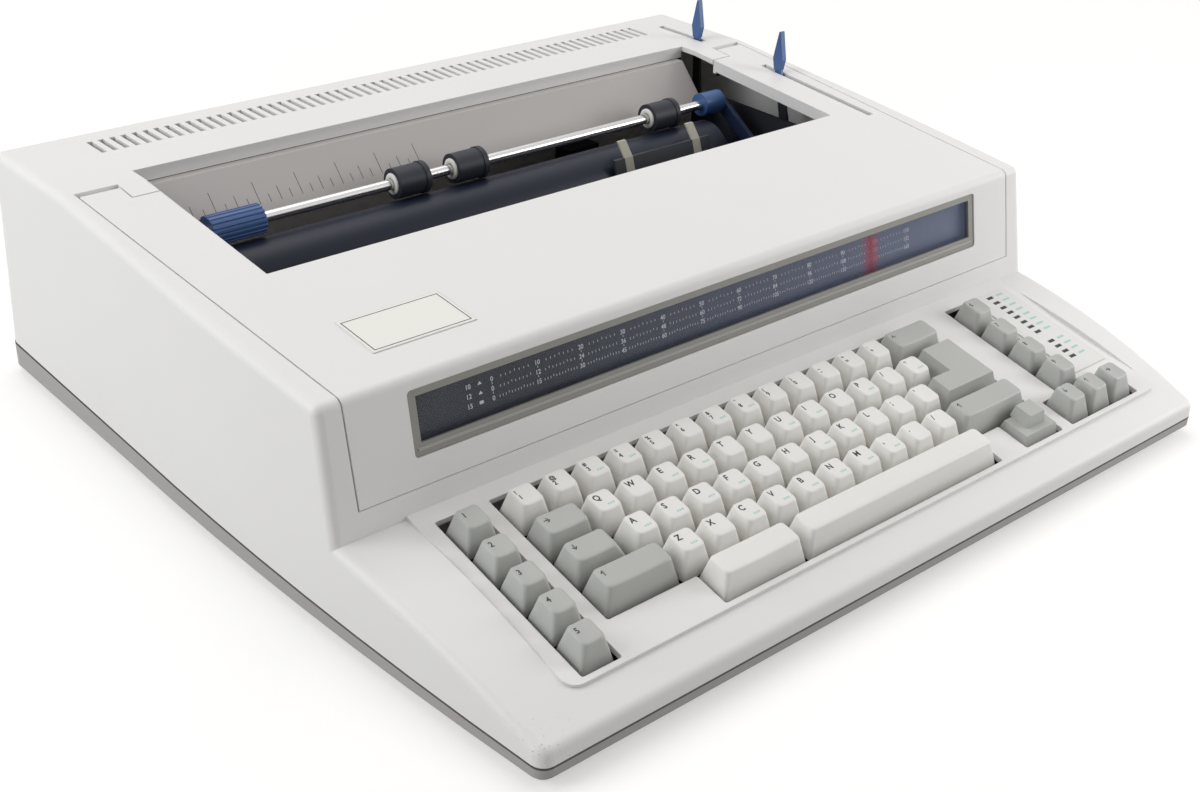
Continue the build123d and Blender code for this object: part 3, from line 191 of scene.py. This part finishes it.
def mapped(tree, value, low, high, at_low=0.0, at_high=1.0):
    """A number that goes from one level to another between two limits."""
    fade = tree.nodes.new("ShaderNodeMapRange")
    fade.inputs["From Min"].default_value = low
    fade.inputs["From Max"].default_value = high
    fade.inputs["To Min"].default_value = at_low
    fade.inputs["To Max"].default_value = at_high
    tree.links.new(value, fade.inputs["Value"])
    return fade.outputs["Result"]


def band(tree, axis, middle, half, soft):
    """One inside a band along an object axis, nothing outside; sizes in millimetres."""
    away = joined(tree, own_axes(tree)[axis], middle * MM, "SUBTRACT")
    size = joined(tree, away, 0.0, "ABSOLUTE")
    return mapped(tree, size, (half - soft) * MM, (half + soft) * MM, 1.0, 0.0)


def below(tree, y, z, slope, depth):
    """One where a point lies deeper than depth under a plane that rises to the rear."""
    axes = own_axes(tree)
    slant = joined(tree, joined(tree, axes["Y"], -y * MM, "ADD"), math.tan(slope), "MULTIPLY")
    drop = joined(tree, joined(tree, slant, z * MM, "ADD"), axes["Z"], "SUBTRACT")
    return joined(tree, drop, depth * MM, "GREATER_THAN")


def background_seen(tree):
    """One for rays from the camera, reflections and see-through pieces, which show the background."""
    path = tree.nodes.new("ShaderNodeLightPath")
    shown = joined(tree, path.outputs["Is Camera Ray"], path.outputs["Is Transmission Ray"], "MAXIMUM")
    return joined(tree, shown, path.outputs["Is Glossy Ray"], "MAXIMUM")


def joined(tree, first, second, operation):
    """Two numbers put together."""
    made = tree.nodes.new("ShaderNodeMath")
    made.operation = operation
    for socket, value in zip(made.inputs, (first, second)):
        if isinstance(value, float):
            socket.default_value = value
        else:
            tree.links.new(value, socket)
    return made.outputs["Value"]


def tint(made, amount, color, metal=None, rough=None):
    """Turns a surface into another colour where the amount is one."""
    tree = made.node_tree
    shader = [n for n in tree.nodes if n.type == "BSDF_PRINCIPLED"][0]
    base = shader.inputs["Base Color"]
    ramp = tree.nodes.new("ShaderNodeMix")
    ramp.data_type = "RGBA"
    if base.is_linked:
        tree.links.new(base.links[0].from_socket, ramp.inputs["A"])
    else:
        ramp.inputs["A"].default_value = base.default_value
    ramp.inputs["B"].default_value = list(color) + [1]
    tree.links.new(amount, ramp.inputs["Factor"])
    tree.links.new(ramp.outputs["Result"], base)
    for name, value in (("Metallic", metal), ("Roughness", rough)):
        if value is not None:
            level = tree.nodes.new("ShaderNodeMix")
            level.inputs["A"].default_value = shader.inputs[name].default_value
            level.inputs["B"].default_value = value
            tree.links.new(amount, level.inputs["Factor"])
            tree.links.new(level.outputs["Result"], shader.inputs[name])


LOOKS = {
    "case_plastic": surface(
        "case_plastic", (0.775, 0.76, 0.74), 0.5, grain=0.35, mottle=0.015, edge=0.6, sheen=0.4
    ),
    "base_plastic": surface("base_plastic", (0.36, 0.34, 0.33), 0.6, grain=0.3, edge=0.6),
    "foot_rubber": surface("foot_rubber", (0.03, 0.03, 0.03), 0.8),
    "overlay_plastic": surface("overlay_plastic", (0.72, 0.715, 0.69), 0.45, edge=0.15),
    "frame_steel": surface("frame_steel", (0.020, 0.021, 0.026), 0.5, sheen=0.2),
    "board_laminate": surface("board_laminate", (0.03, 0.10, 0.05), 0.5),
    "core_iron": surface("core_iron", (0.08, 0.075, 0.07), 0.6, metal=0.6),
    "bright_steel": surface("bright_steel", (0.60, 0.59, 0.58), 0.22, metal=1.0, mottle=0.02),
    "rest_plastic": surface("rest_plastic", (0.44, 0.415, 0.40), 0.5, grain=0.2),
    "motor_metal": surface("motor_metal", (0.30, 0.30, 0.31), 0.4, metal=0.9),
    "black_plastic": surface("black_plastic", (0.022, 0.023, 0.028), 0.45),
    "belt_rubber": surface("belt_rubber", (0.02, 0.02, 0.02), 0.8),
    "bezel_plastic": surface("bezel_plastic", (0.27, 0.26, 0.235), 0.55, grain=0.2),
    "lens_glass": glass("lens_glass", (0.05, 0.07, 0.11), 0.85, 0.08),
    "scale_plastic": surface("scale_plastic", (0.085, 0.088, 0.10), 0.4, mottle=0.0),
    "platen_rubber": surface("platen_rubber", (0.008, 0.011, 0.024), 0.4, mottle=0.1, sheen=0.25),
    "white_nylon": surface("white_nylon", (0.70, 0.69, 0.64), 0.5),
    "roller_rubber": surface("roller_rubber", (0.020, 0.022, 0.030), 0.5, sheen=0.3),
    "blue_plastic": surface("blue_plastic", (0.040, 0.100, 0.26), 0.4, mottle=0.05),
    "red_plastic": surface("red_plastic", (0.75, 0.03, 0.03), 0.4),
    "holder_plastic": surface("holder_plastic", (0.020, 0.022, 0.028), 0.45, sheen=0.3),
    "wheel_plastic": surface("wheel_plastic", (0.03, 0.03, 0.035), 0.5),
    "key_white": surface("key_white", (0.78, 0.765, 0.725), 0.45, grain=0.12, mottle=0.02, edge=0.25),
    "key_grey": surface("key_grey", (0.43, 0.435, 0.41), 0.45, grain=0.12, mottle=0.02, edge=0.25),
}
INK = surface("ink_dark", (0.02, 0.02, 0.025), 0.5, mottle=0.0, edge=0.02)
INK_GREEN = surface("ink_green", (0.38, 0.60, 0.50), 0.5, mottle=0.0, edge=0.02)
INK_WHITE = surface("ink_white", (0.72, 0.74, 0.80), 0.5, mottle=0.0, edge=0.02)
# Red for the scale marks in front of the pointer: painted glow from the pointer behind the scale
PAINTED_GLOW_INK = surface("painted_glow_red", (0.85, 0.20, 0.25), 0.5, mottle=0.0, edge=0.02)
RIDGE = surface("bezel_ridge", (0.36, 0.35, 0.33), 0.5, mottle=0.0, edge=0.1)
PLATE = surface("plate_cream", (0.80, 0.79, 0.73), 0.4, mottle=0.01, edge=0.02)

# Painted reflection and painted glow: the scale gets a painted blue-grey sheen that grows towards its
# right end, so it is darker at its left end, and a painted red glow where the pointer lies behind it
scale_tree = LOOKS["scale_plastic"].node_tree
tint(LOOKS["scale_plastic"], band(scale_tree, "X", 190.0, 150.0, 150.0), (0.40, 0.46, 0.70))
# Painted red glow of the pointer, fixed at the carriage's rest place
tint(LOOKS["scale_plastic"], band(scale_tree, "X", CARRIAGE_X, 4.0, 4.0), (0.80, 0.13, 0.22))

# The fingers of the card holder are pale, and the arms of the bail are dark
holder_tree = LOOKS["holder_plastic"].node_tree
fingers = joined(
    holder_tree,
    band(holder_tree, "X", CARRIAGE_X - FINGER_X, 3.1, 0.1),
    band(holder_tree, "X", CARRIAGE_X + FINGER_X, 3.1, 0.1),
    "MAXIMUM",
)
tint(LOOKS["holder_plastic"], fingers, (0.40, 0.385, 0.31))
steel = surface("bail_steel", (0.60, 0.59, 0.58), 0.22, metal=1.0, mottle=0.02)
arms = joined(steel.node_tree, 1.0, band(steel.node_tree, "X", 0.0, 178.0, 0.1), "SUBTRACT")
tint(steel, arms, (0.012, 0.022, 0.055), metal=0.0, rough=0.4)

# Worn specks at the near left corner of the case
case = LOOKS["case_plastic"]
tree = case.node_tree
specks = mapped(tree, noise(tree, 1100.0, 2.0, 0.5).outputs["Fac"], 0.66, 0.74)
corner = joined(tree, band(tree, "X", -222.0, 14.0, 12.0), band(tree, "Y", -224.0, 10.0, 8.0), "MULTIPLY")
tint(case, joined(tree, corner, specks, "MULTIPLY"), (0.30, 0.27, 0.26))

# Painted shade: the inside of the case and the stalks of the levers lie in the dark, so they are coloured
# near black
for made, half, turned in ((case, 228.0, False), (LOOKS["blue_plastic"], 200.0, True)):
    tree = made.node_tree
    across = band(tree, "X", 0.0, half, 0.1)
    if turned:
        across = joined(tree, 1.0, across, "SUBTRACT")
    along = band(tree, "Y", 60.0, 110.0, 0.1)
    deep = below(tree, TOP_FRONT.y, TOP_FRONT.z, TOP_SLOPE, 8.0)
    inside = joined(tree, joined(tree, across, along, "MULTIPLY"), deep, "MULTIPLY")
    # Near-black painted shade where the mask is one
    tint(made, inside, (0.020, 0.021, 0.026))

# Dark line in the seam between case and base
for made in (case, LOOKS["base_plastic"]):
    tree = made.node_tree
    upper = below(tree, SEAM_Y, SEAM_Z, SEAM_SLOPE, -0.75)
    lower = below(tree, SEAM_Y, SEAM_Z, SEAM_SLOPE, 0.45)
    tint(made, joined(tree, upper, lower, "SUBTRACT"), (0.05, 0.042, 0.036))

for part in frame["record"]["subparts"]:
    node = frame["nodes"][part["node"]]
    node.data.materials.clear()
    node.data.materials.append(steel if part["node"] == "paper_bail" else LOOKS[part["material_slot"]])


# Helpers for meshes and printed marks


def add_mesh(name, points, faces, material, body, smooth=False):
    """A mesh piece made of points in metres, riding on a body."""
    mesh = bpy.data.meshes.new(name)
    mesh.from_pydata([tuple(p) for p in points], [], faces)
    mesh.validate()
    mesh.update()
    piece = bpy.data.objects.new(name, mesh)
    bpy.context.scene.collection.objects.link(piece)
    mesh.materials.append(material)
    if smooth:
        mesh.shade_smooth()
    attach(piece, body)
    return piece


class Marks:
    """Printed marks gathered into one mesh: flat shapes laid on a surface."""

    def __init__(self):
        self.points = []
        self.faces = []

    def polygon(self, corners, place):
        """One flat shape; place turns its two coordinates into a point."""
        start = len(self.points)
        self.points.extend(place(x, y) for x, y in corners)
        self.faces.append(list(range(start, start + len(corners))))

    def bar(self, x, y, width, height, place):
        """An upright rectangle from its lower left corner."""
        self.polygon(((x, y), (x + width, y), (x + width, y + height), (x, y + height)), place)

    def text(self, words, x, y, size, place, align="LEFT", bold=0.0):
        """Words in the plain built-in font, from the left end of their base line."""
        curve = bpy.data.curves.new("words", "FONT")
        curve.body = words
        curve.size = size
        curve.align_x = align
        curve.offset = bold
        curve.resolution_u = 3
        holder = bpy.data.objects.new("words", curve)
        bpy.context.scene.collection.objects.link(holder)
        shape = holder.evaluated_get(bpy.context.evaluated_depsgraph_get()).to_mesh()
        start = len(self.points)
        self.points.extend(place(x + v.co.x, y + v.co.y) for v in shape.vertices)
        self.faces.extend([start + i for i in face.vertices] for face in shape.polygons)
        bpy.data.objects.remove(holder)
        bpy.data.curves.remove(curve)

    def build(self, name, material, body):
        """The finished piece."""
        return add_mesh(name, self.points, self.faces, material, body)


def ring(left, right, front, rear, corner, per_corner=5, per_side=5):
    """Points round a rectangle with rounded corners."""
    made = []
    centres = (
        (right - corner, front + corner, -90),
        (right - corner, rear - corner, 0),
        (left + corner, rear - corner, 90),
        (left + corner, front + corner, 180),
    )
    for cx, cy, start in centres:
        arc = []
        for i in range(per_corner + 1):
            a = math.radians(start + 90 * i / per_corner)
            arc.append((cx + corner * math.cos(a), cy + corner * math.sin(a)))
        if made:
            last = made[-1]
            for i in range(1, per_side):
                t = i / per_side
                made.append((last[0] + (arc[0][0] - last[0]) * t, last[1] + (arc[0][1] - last[1]) * t))
        made.extend(arc)
    last, first = made[-1], made[0]
    for i in range(1, per_side):
        t = i / per_side
        made.append((last[0] + (first[0] - last[0]) * t, last[1] + (first[1] - last[1]) * t))
    return made


def dish_height(x, middle, width, rise, dish):
    """Height of a key's dished top."""
    return rise - dish * (1 - ((x - middle) / (width / 2)) ** 2)


def cap_geometry(left, front, width, rise, right_run=SIDE_RUN, dish=DISH, stems=1):
    """Points and faces of one key cap with rounded shoulders and its stem."""
    right = left + width
    rear = front + TOP_DEPTH
    middle = left + width / 2
    base = (left - SIDE_RUN, right + right_run, front - FRONT_RUN, rear + REAR_RUN)
    top = (left, right, front, rear)
    rings = []
    for t in (0.0, 0.03, 0.5, 0.93):
        edges = [b + (e - b) * t for b, e in zip(base, top)]
        if t == 0.0:
            edges = [edges[0] + 0.25, edges[1] - 0.25, edges[2] + 0.25, edges[3] - 0.25]
        corner = 1.7 + 0.6 * t
        height = rise - CAP_HEIGHT * (1 - t)
        rings.append([(x, y, height) for x, y in ring(*edges, corner)])
    sink = CAP_HEIGHT * 0.07
    for a in (30, 60, 90):
        s = math.sin(math.radians(a))
        c = 1 - math.cos(math.radians(a))
        inset = 0.75 * c
        slope_in = [b + (e - b) * (0.93 + 0.07 * s) for b, e in zip(base, top)]
        edges = [slope_in[0] + inset, slope_in[1] - inset, slope_in[2] + inset, slope_in[3] - inset]
        corner = 2.25
        made = []
        for x, y in ring(*edges, corner):
            full = dish_height(x, middle, width, rise, dish)
            made.append((x, y, rise - sink * (1 - s) + (full - rise) * s))
        rings.append(made)
    last = rings[-1]
    cx = sum(p[0] for p in last) / len(last)
    cy = sum(p[1] for p in last) / len(last)
    for t in (0.75, 0.5, 0.25):
        made = []
        for x, y, _ in last:
            px = cx + (x - cx) * t
            py = cy + (y - cy) * t
            made.append((px, py, dish_height(px, middle, width, rise, dish)))
        rings.append(made)
    points = [p for r in rings for p in r]
    count = len(rings[0])
    faces = [list(reversed(range(count)))] + joined_rings(count, len(rings))
    points.append((cx, cy, dish_height(cx, middle, width, rise, dish)))
    centre = len(points) - 1
    start = (len(rings) - 1) * count
    for i in range(count):
        faces.append([start + i, start + (i + 1) % count, centre])
    places = [(middle, front + TOP_DEPTH / 2)]
    if stems == 2:
        places = [(left + width / 8, front + TOP_DEPTH / 2), (left + width * 7 / 8, front + TOP_DEPTH / 2)]
    for x, y in places:
        box_points, box_faces = box_geometry(
            x - STEM_SIZE / 2, x + STEM_SIZE / 2, y - STEM_SIZE / 2, y + STEM_SIZE / 2,
            -STEM_REACH, rise - CAP_HEIGHT,
        )
        start = len(points)
        points.extend(box_points)
        faces.extend([start + i for i in face] for face in box_faces)
    return points, faces


def joined_rings(count, levels):
    """Four-sided faces between rings of points that follow one another."""
    faces = []
    for level in range(levels - 1):
        a, b = level * count, (level + 1) * count
        for i in range(count):
            j = (i + 1) % count
            faces.append([a + i, a + j, b + j, b + i])
    return faces


def box_geometry(x0, x1, y0, y1, z0, z1):
    """Points and faces of a box."""
    points = [(x, y, z) for z in (z0, z1) for y in (y0, y1) for x in (x0, x1)]
    faces = [[0, 2, 3, 1], [4, 5, 7, 6], [0, 1, 5, 4], [2, 6, 7, 3], [0, 4, 6, 2], [1, 3, 7, 5]]
    return points, faces


def top_width(units):
    """Width of the top of a key that takes up a number of key units."""
    return units * PITCH - CAP_GAP - 2 * SIDE_RUN


UNIT = top_width(1)


def build_keys(node, caps, material, **options):
    """The caps of one CAD node as one finer piece."""
    points, faces = [], []
    for left, front, width, rise in caps:
        made, made_faces = cap_geometry(left, front, width, rise, **options)
        start = len(points)
        points.extend(key_point(*p) for p in made)
        faces.extend([start + i for i in face] for face in made_faces)
    piece = add_mesh(node + "_caps", points, faces, material, node, smooth=True)
    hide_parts(node)
    return piece


white = LOOKS["key_white"]
grey = LOOKS["key_grey"]
key_tops = {}
rows = (
    ("number_row_keys", 0, 0.0, 13),
    ("upper_row_keys", 1, 1.5, 12),
    ("home_row_keys", 2, 1.75, 11),
    ("lower_row_keys", 3, 2.25, 10),
)
for node, row, start, count in rows:
    key_tops[node] = [((start + i) * PITCH, ROW_FRONT[row], UNIT, ROW_RISE[row]) for i in range(count)]
    build_keys(node, key_tops[node], white)
for i in range(5):
    node = "left_key_%d" % (i + 1)
    key_tops[node] = [(LEFT_COLUMN, ROW_FRONT[i], UNIT, ROW_RISE[i])]
    build_keys(node, key_tops[node], grey)
for i in range(3):
    node = "front_key_%d" % (i + 1)
    key_tops[node] = [(CLUSTER + i * PITCH, ROW_FRONT[4], UNIT, ROW_RISE[4])]
    build_keys(node, key_tops[node], grey)
key_tops["right_column_keys"] = [(RIGHT_COLUMN, ROW_FRONT[i], UNIT, ROW_RISE[i]) for i in range(4)]
build_keys("right_column_keys", key_tops["right_column_keys"], grey)
singles = (
    ("backspace_key", 13.0, 2.0, 0, grey, {}),
    ("tab_key", 0.0, 1.5, 1, grey, {}),
    ("lock_key", 0.0, 1.5, 2, grey, {"right_run": SIDE_RUN + 0.25 * PITCH}),
    ("left_shift_key", 0.0, 2.25, 3, grey, {}),
    ("right_shift_key", 12.25, 2.75, 3, grey, {}),
    ("code_key", 2.64, 2.75, 4, white, {}),
    ("space_bar", 5.41, 7.1, 4, white, {"dish": 0.0, "stems": 2}),
)
for node, start, units, row, material, options in singles:
    key_tops[node] = [(start * PITCH, ROW_FRONT[row], top_width(units), ROW_RISE[row])]
    build_keys(node, key_tops[node], material, **options)


# Legends on the keys


def on_key(left, front, width, rise, dish=DISH):
    """A function that lays marks on a key's dished top, from its near left corner."""

    def place(x, y):
        height = dish_height(left + x, left + width / 2, width, rise, dish)
        return key_point(left + x, front + y, height + 0.03)

    return place


row_letters = {
    "number_row_keys": ("1", "2", "3", "4", "5", "6", "7", "8", "9", "0", "-", "=", "+"),
    "upper_row_keys": tuple("QWERTYUIOP") + ("/", "*"),
    "home_row_keys": tuple("ASDFGHJKL") + (";", "'"),
    "lower_row_keys": tuple("ZXCVBNM") + (",", ".", "/"),
}
GREEN_KEYS = "#$&*QERUIPASDFJKZCBNM"
for node, letters in row_letters.items():
    dark, green = Marks(), Marks()
    for key, letter, second in zip(key_tops[node], letters, "!@#$%^&*()_+:"):
        place = on_key(*key)
        if node == "number_row_keys":
            dark.text(second, 1.3, 7.3, 3.3, place, bold=0.12)
            dark.text(letter, 1.3, 3.9, 3.6, place, bold=0.12)
        else:
            dark.text(letter, 1.3, 6.6, 4.7, place, bold=0.14)
        if second in GREEN_KEYS or letter in GREEN_KEYS:
            for step in range(3):
                green.bar(5.6 + 1.3 * step, 2.2, 0.8, 1.2, place)
    dark.build(node + "_legends", INK, node)
    green.build(node + "_second_legends", INK_GREEN, node)

single_letters = {
    "backspace_key": "←", "tab_key": "→", "lock_key": "↓", "left_shift_key": "↑",
    "right_shift_key": "↑", "left_key_1": "1", "left_key_2": "2", "left_key_3": "3",
    "left_key_4": "4", "left_key_5": "5", "front_key_1": "↓", "front_key_2": "↑",
    "front_key_3": "→",
}
for node, letter in single_letters.items():
    dark = Marks()
    dark.text(letter, 1.6, 6.4, 4.2, on_key(*key_tops[node][0]), bold=0.1)
    dark.build(node + "_legend", INK, node)
dark = Marks()
for key, letter in zip(key_tops["right_column_keys"], "6789"):
    dark.text(letter, 1.6, 6.4, 4.2, on_key(*key), bold=0.1)
dark.build("right_column_legends", INK, "right_column_keys")


# Scale in the window

window_low = (72.5 - TOP_FRONT.z) / math.sin(LEAN)
window_high = (102.2 - TOP_FRONT.z) / math.sin(LEAN)
glass_high = window_high - 3.4
scale_zero = -142.5
inch = 25.4
inches = 11
digit_size = 3.1
marks, painted_glow_marks = Marks(), Marks()


def on_scale(x, v):
    """A place on the front of the scale strip."""
    return face_point(x, v, -3.98)


for per_inch, base_line in ((10, glass_high - 6.6), (12, glass_high - 11.1), (15, glass_high - 15.6)):
    step = inch / per_inch
    marks.text(str(per_inch), scale_zero - 14.5, base_line, digit_size, on_scale, bold=0.05)
    side = scale_zero - 7.8
    foot = base_line + 0.4
    if per_inch == 15:
        marks.bar(side, foot, 2.2, 1.5, on_scale)
    else:
        marks.polygon(((side, foot), (side + 2.4, foot), (side + 1.2, base_line + 2.0)), on_scale)
    for number in range(inches * per_inch + 1):
        x = scale_zero + number * step
        # Marks within 5 mm of the pointer take the painted red glow instead of the white print
        ink = painted_glow_marks if abs(x - CARRIAGE_X) < 5.0 else marks
        if number % per_inch == 0:
            ink.text(str(number), x, base_line, digit_size, on_scale, align="CENTER", bold=0.05)
            if per_inch < 15:
                ink.bar(x - 0.16, base_line - 1.5, 0.32, 1.0, on_scale)
        elif abs(number % per_inch - per_inch / 2) < per_inch / 2 - 1.2:
            lift = 0.45 if number % 5 == 0 else 0.0
            ink.bar(x - 0.15, base_line + 0.5 + lift, 0.3, 1.1, on_scale)
painted_glow_marks.build("scale_painted_glow_marks", PAINTED_GLOW_INK, "cover")

# Ridge along the lower edge of the window, narrower at its top
ridge_low = window_low + 2.6
corners = []
for out, narrow in ((-0.62, 0.0), (-0.2, 0.2)):
    for v in (ridge_low + narrow, ridge_low + 1.5 - narrow):
        for x in (-186.5, 188.3):
            corners.append(face_point(x, v, out))
add_mesh("bezel_ridge", corners, box_geometry(0, 1, 0, 1, 0, 1)[1], RIDGE, "cover")
marks.build("scale_marks", INK_WHITE, "cover")


# Indicator panel

lamp_x = 343.5
lamp_pitch = 4.9
panel_rear = 17.3
lamps, labels = Marks(), Marks()


def on_panel(x, y):
    """A place on the indicator panel."""
    return key_point(x, y, -ISLAND_DROP + PANEL_THICKNESS + 0.03)


def in_lamp(x, y):
    """A place on the floor of the panel's small windows."""
    return key_point(x, y, -ISLAND_DROP + 0.43)


for number in range(12):
    gap = 4.5 if number > 7 else 0.0
    y = panel_rear - 4.0 - number * lamp_pitch - gap
    lamps.bar(lamp_x - 2.5, y - 1.1, 5.0, 2.2, in_lamp)
    labels.bar(lamp_x + 5.5, y - 0.7, 5.5, 1.4, on_panel)
lamps.build("indicator_windows", LOOKS["black_plastic"], "machine")
labels.build("indicator_labels", INK_GREEN, "machine")


# Ruler on the paper rest

rest_low = Vector((0, 121.0, 96.0))
rest_high = Vector((0, 143.0, 119.5))
rest_up = (rest_high - rest_low).normalized()
rest_out = Vector((0, -rest_up.z, rest_up.y))


def on_rest(x, v):
    """A place on the front of the paper rest."""
    return (rest_low + KEY_X * x + rest_up * v + rest_out * 0.03) * MM


ruler = Marks()
for number in range(25):
    x = -182.0 + number * inch / 4
    tall = 13.0 if number % 4 == 0 else (8.0 if number % 2 == 0 else 5.0)
    ruler.bar(x - 0.16, 8.0, 0.32, tall, on_rest)
ruler.build("rest_ruler", INK, "machine")


# Bare plate on the cover, hub rings on the bail's rollers


def on_plate(x, y):
    """A place on the raised plate."""
    return top_point(x, y, 0.43)


def on_plate_face(x, y):
    """A place just over the plate's pale face."""
    return top_point(x, y, 0.46)


plate_left, plate_front = -188.5, -64.0
plate_width, plate_depth = 54.5, 30.0 * TOP_UP.y
margin, line = 1.6, 0.5
pale, border = Marks(), Marks()
pale.bar(plate_left + 0.5, plate_front + 0.5, plate_width - 1.0, plate_depth - 1.0, on_plate)
for y in (plate_front + margin, plate_front + plate_depth - margin - line):
    border.bar(plate_left + margin, y, plate_width - 2 * margin, line, on_plate_face)
for x in (plate_left + margin, plate_left + plate_width - margin - line):
    border.bar(x, plate_front + margin, line, plate_depth - 2 * margin, on_plate_face)
pale.build("plate_face", PLATE, "cover")
border.build("plate_border", INK, "cover")

HUB_SIDES = 40
HUB_PROFILE = ((3.3, 0.1), (3.3, -0.9), (5.4, -0.9), (5.9, -0.4), (5.9, 0.1))
for body, middle in ROLLERS:
    points = []
    for radius, out in HUB_PROFILE:
        for i in range(HUB_SIDES):
            a = 2 * math.pi * i / HUB_SIDES
            x = middle - ROLLER_LENGTH / 2 + out
            points.append(Vector((x, BAIL_Y + radius * math.cos(a), BAIL_Z + radius * math.sin(a))) * MM)
    faces = joined_rings(HUB_SIDES, len(HUB_PROFILE))
    add_mesh(body + "_hub", points, faces, LOOKS["white_nylon"], body, smooth=True)


# Camera, lights and floor

camera_data = bpy.data.cameras.new("camera")
camera = bpy.data.objects.new("camera", camera_data)
bpy.context.scene.collection.objects.link(camera)
camera_data.sensor_width = 36.0
camera_data.lens = 1612.44 / 1200 * camera_data.sensor_width
right = Vector((0.755991, -0.653701, 0.033953))
down = Vector((-0.291245, -0.382366, -0.876911))
ahead = Vector((0.58622, 0.653048, -0.479452))
turn = Matrix((right, -down, -ahead)).transposed()
camera.matrix_world = Matrix.Translation(Vector((-0.520164, -0.577274, 0.423842))) @ turn.to_4x4()
camera_data.clip_start = 0.01
bpy.context.scene.camera = camera

scene = bpy.context.scene
scene.view_settings.view_transform = "Standard"

world = bpy.data.worlds.new("world")
scene.world = world
world.use_nodes = True
tree = world.node_tree
tree.nodes.clear()
world_out = tree.nodes.new("ShaderNodeOutputWorld")
seen = tree.nodes.new("ShaderNodeBackground")
seen.inputs["Color"].default_value = (1, 1, 1, 1)
seen.inputs["Strength"].default_value = 1.0
light = tree.nodes.new("ShaderNodeBackground")
light.inputs["Color"].default_value = (0.98, 0.985, 1.0, 1)
light.inputs["Strength"].default_value = 0.37
mix = tree.nodes.new("ShaderNodeMixShader")
tree.links.new(background_seen(tree), mix.inputs["Fac"])
tree.links.new(light.outputs["Background"], mix.inputs[1])
tree.links.new(seen.outputs["Background"], mix.inputs[2])
tree.links.new(mix.outputs["Shader"], world_out.inputs["Surface"])


def area_light(name, place, size, power, color=(1, 1, 1)):
    """A square soft light aimed at the machine."""
    data = bpy.data.lights.new(name, "AREA")
    data.size = size
    data.energy = power
    data.color = color
    lamp = bpy.data.objects.new(name, data)
    bpy.context.scene.collection.objects.link(lamp)
    lamp.location = place
    lamp.rotation_mode = "QUATERNION"
    lamp.rotation_quaternion = (Vector((0, 0, 0.05)) - Vector(place)).to_track_quat("-Z", "Y")
    return lamp


area_light("top_light", (0.2, 0.5, 1.7), 1.4, 12.5, (1.0, 0.985, 0.97))
area_light("left_light", (-1.55, 0.55, 0.9), 1.1, 17.0, (0.94, 0.97, 1.0))
area_light("front_light", (0.75, -0.55, 0.36), 0.4, 3.6, (0.98, 0.98, 1.0))

floor_mesh = bpy.data.meshes.new("floor")
side = 30.0
floor_corners = ((-side, -side, 0), (side, -side, 0), (side, side, 0), (-side, side, 0))
floor_mesh.from_pydata(floor_corners, [], [[0, 1, 2, 3]])
floor = bpy.data.objects.new("floor", floor_mesh)
scene.collection.objects.link(floor)
floor_look = bpy.data.materials.new("floor")
floor_look.use_nodes = True
tree = floor_look.node_tree
tree.nodes.clear()
out = tree.nodes.new("ShaderNodeOutputMaterial")
diffuse = tree.nodes.new("ShaderNodeBsdfDiffuse")
diffuse.inputs["Color"].default_value = (0.60, 0.595, 0.58, 1)
whiter = tree.nodes.new("ShaderNodeEmission")
whiter.inputs["Color"].default_value = (1, 0.99, 0.97, 1)
spot = tree.nodes.new("ShaderNodeTexCoord")
reach = tree.nodes.new("ShaderNodeVectorMath")
reach.operation = "LENGTH"
tree.links.new(spot.outputs["Object"], reach.inputs[0])
farther = mapped(tree, reach.outputs["Value"], 0.6, 2.4, 0.46, 0.85)
tree.links.new(joined(tree, background_seen(tree), farther, "MULTIPLY"), whiter.inputs["Strength"])
both = tree.nodes.new("ShaderNodeAddShader")
tree.links.new(diffuse.outputs["BSDF"], both.inputs[0])
tree.links.new(whiter.outputs["Emission"], both.inputs[1])
tree.links.new(both.outputs["Shader"], out.inputs["Surface"])
floor_mesh.materials.append(floor_look)
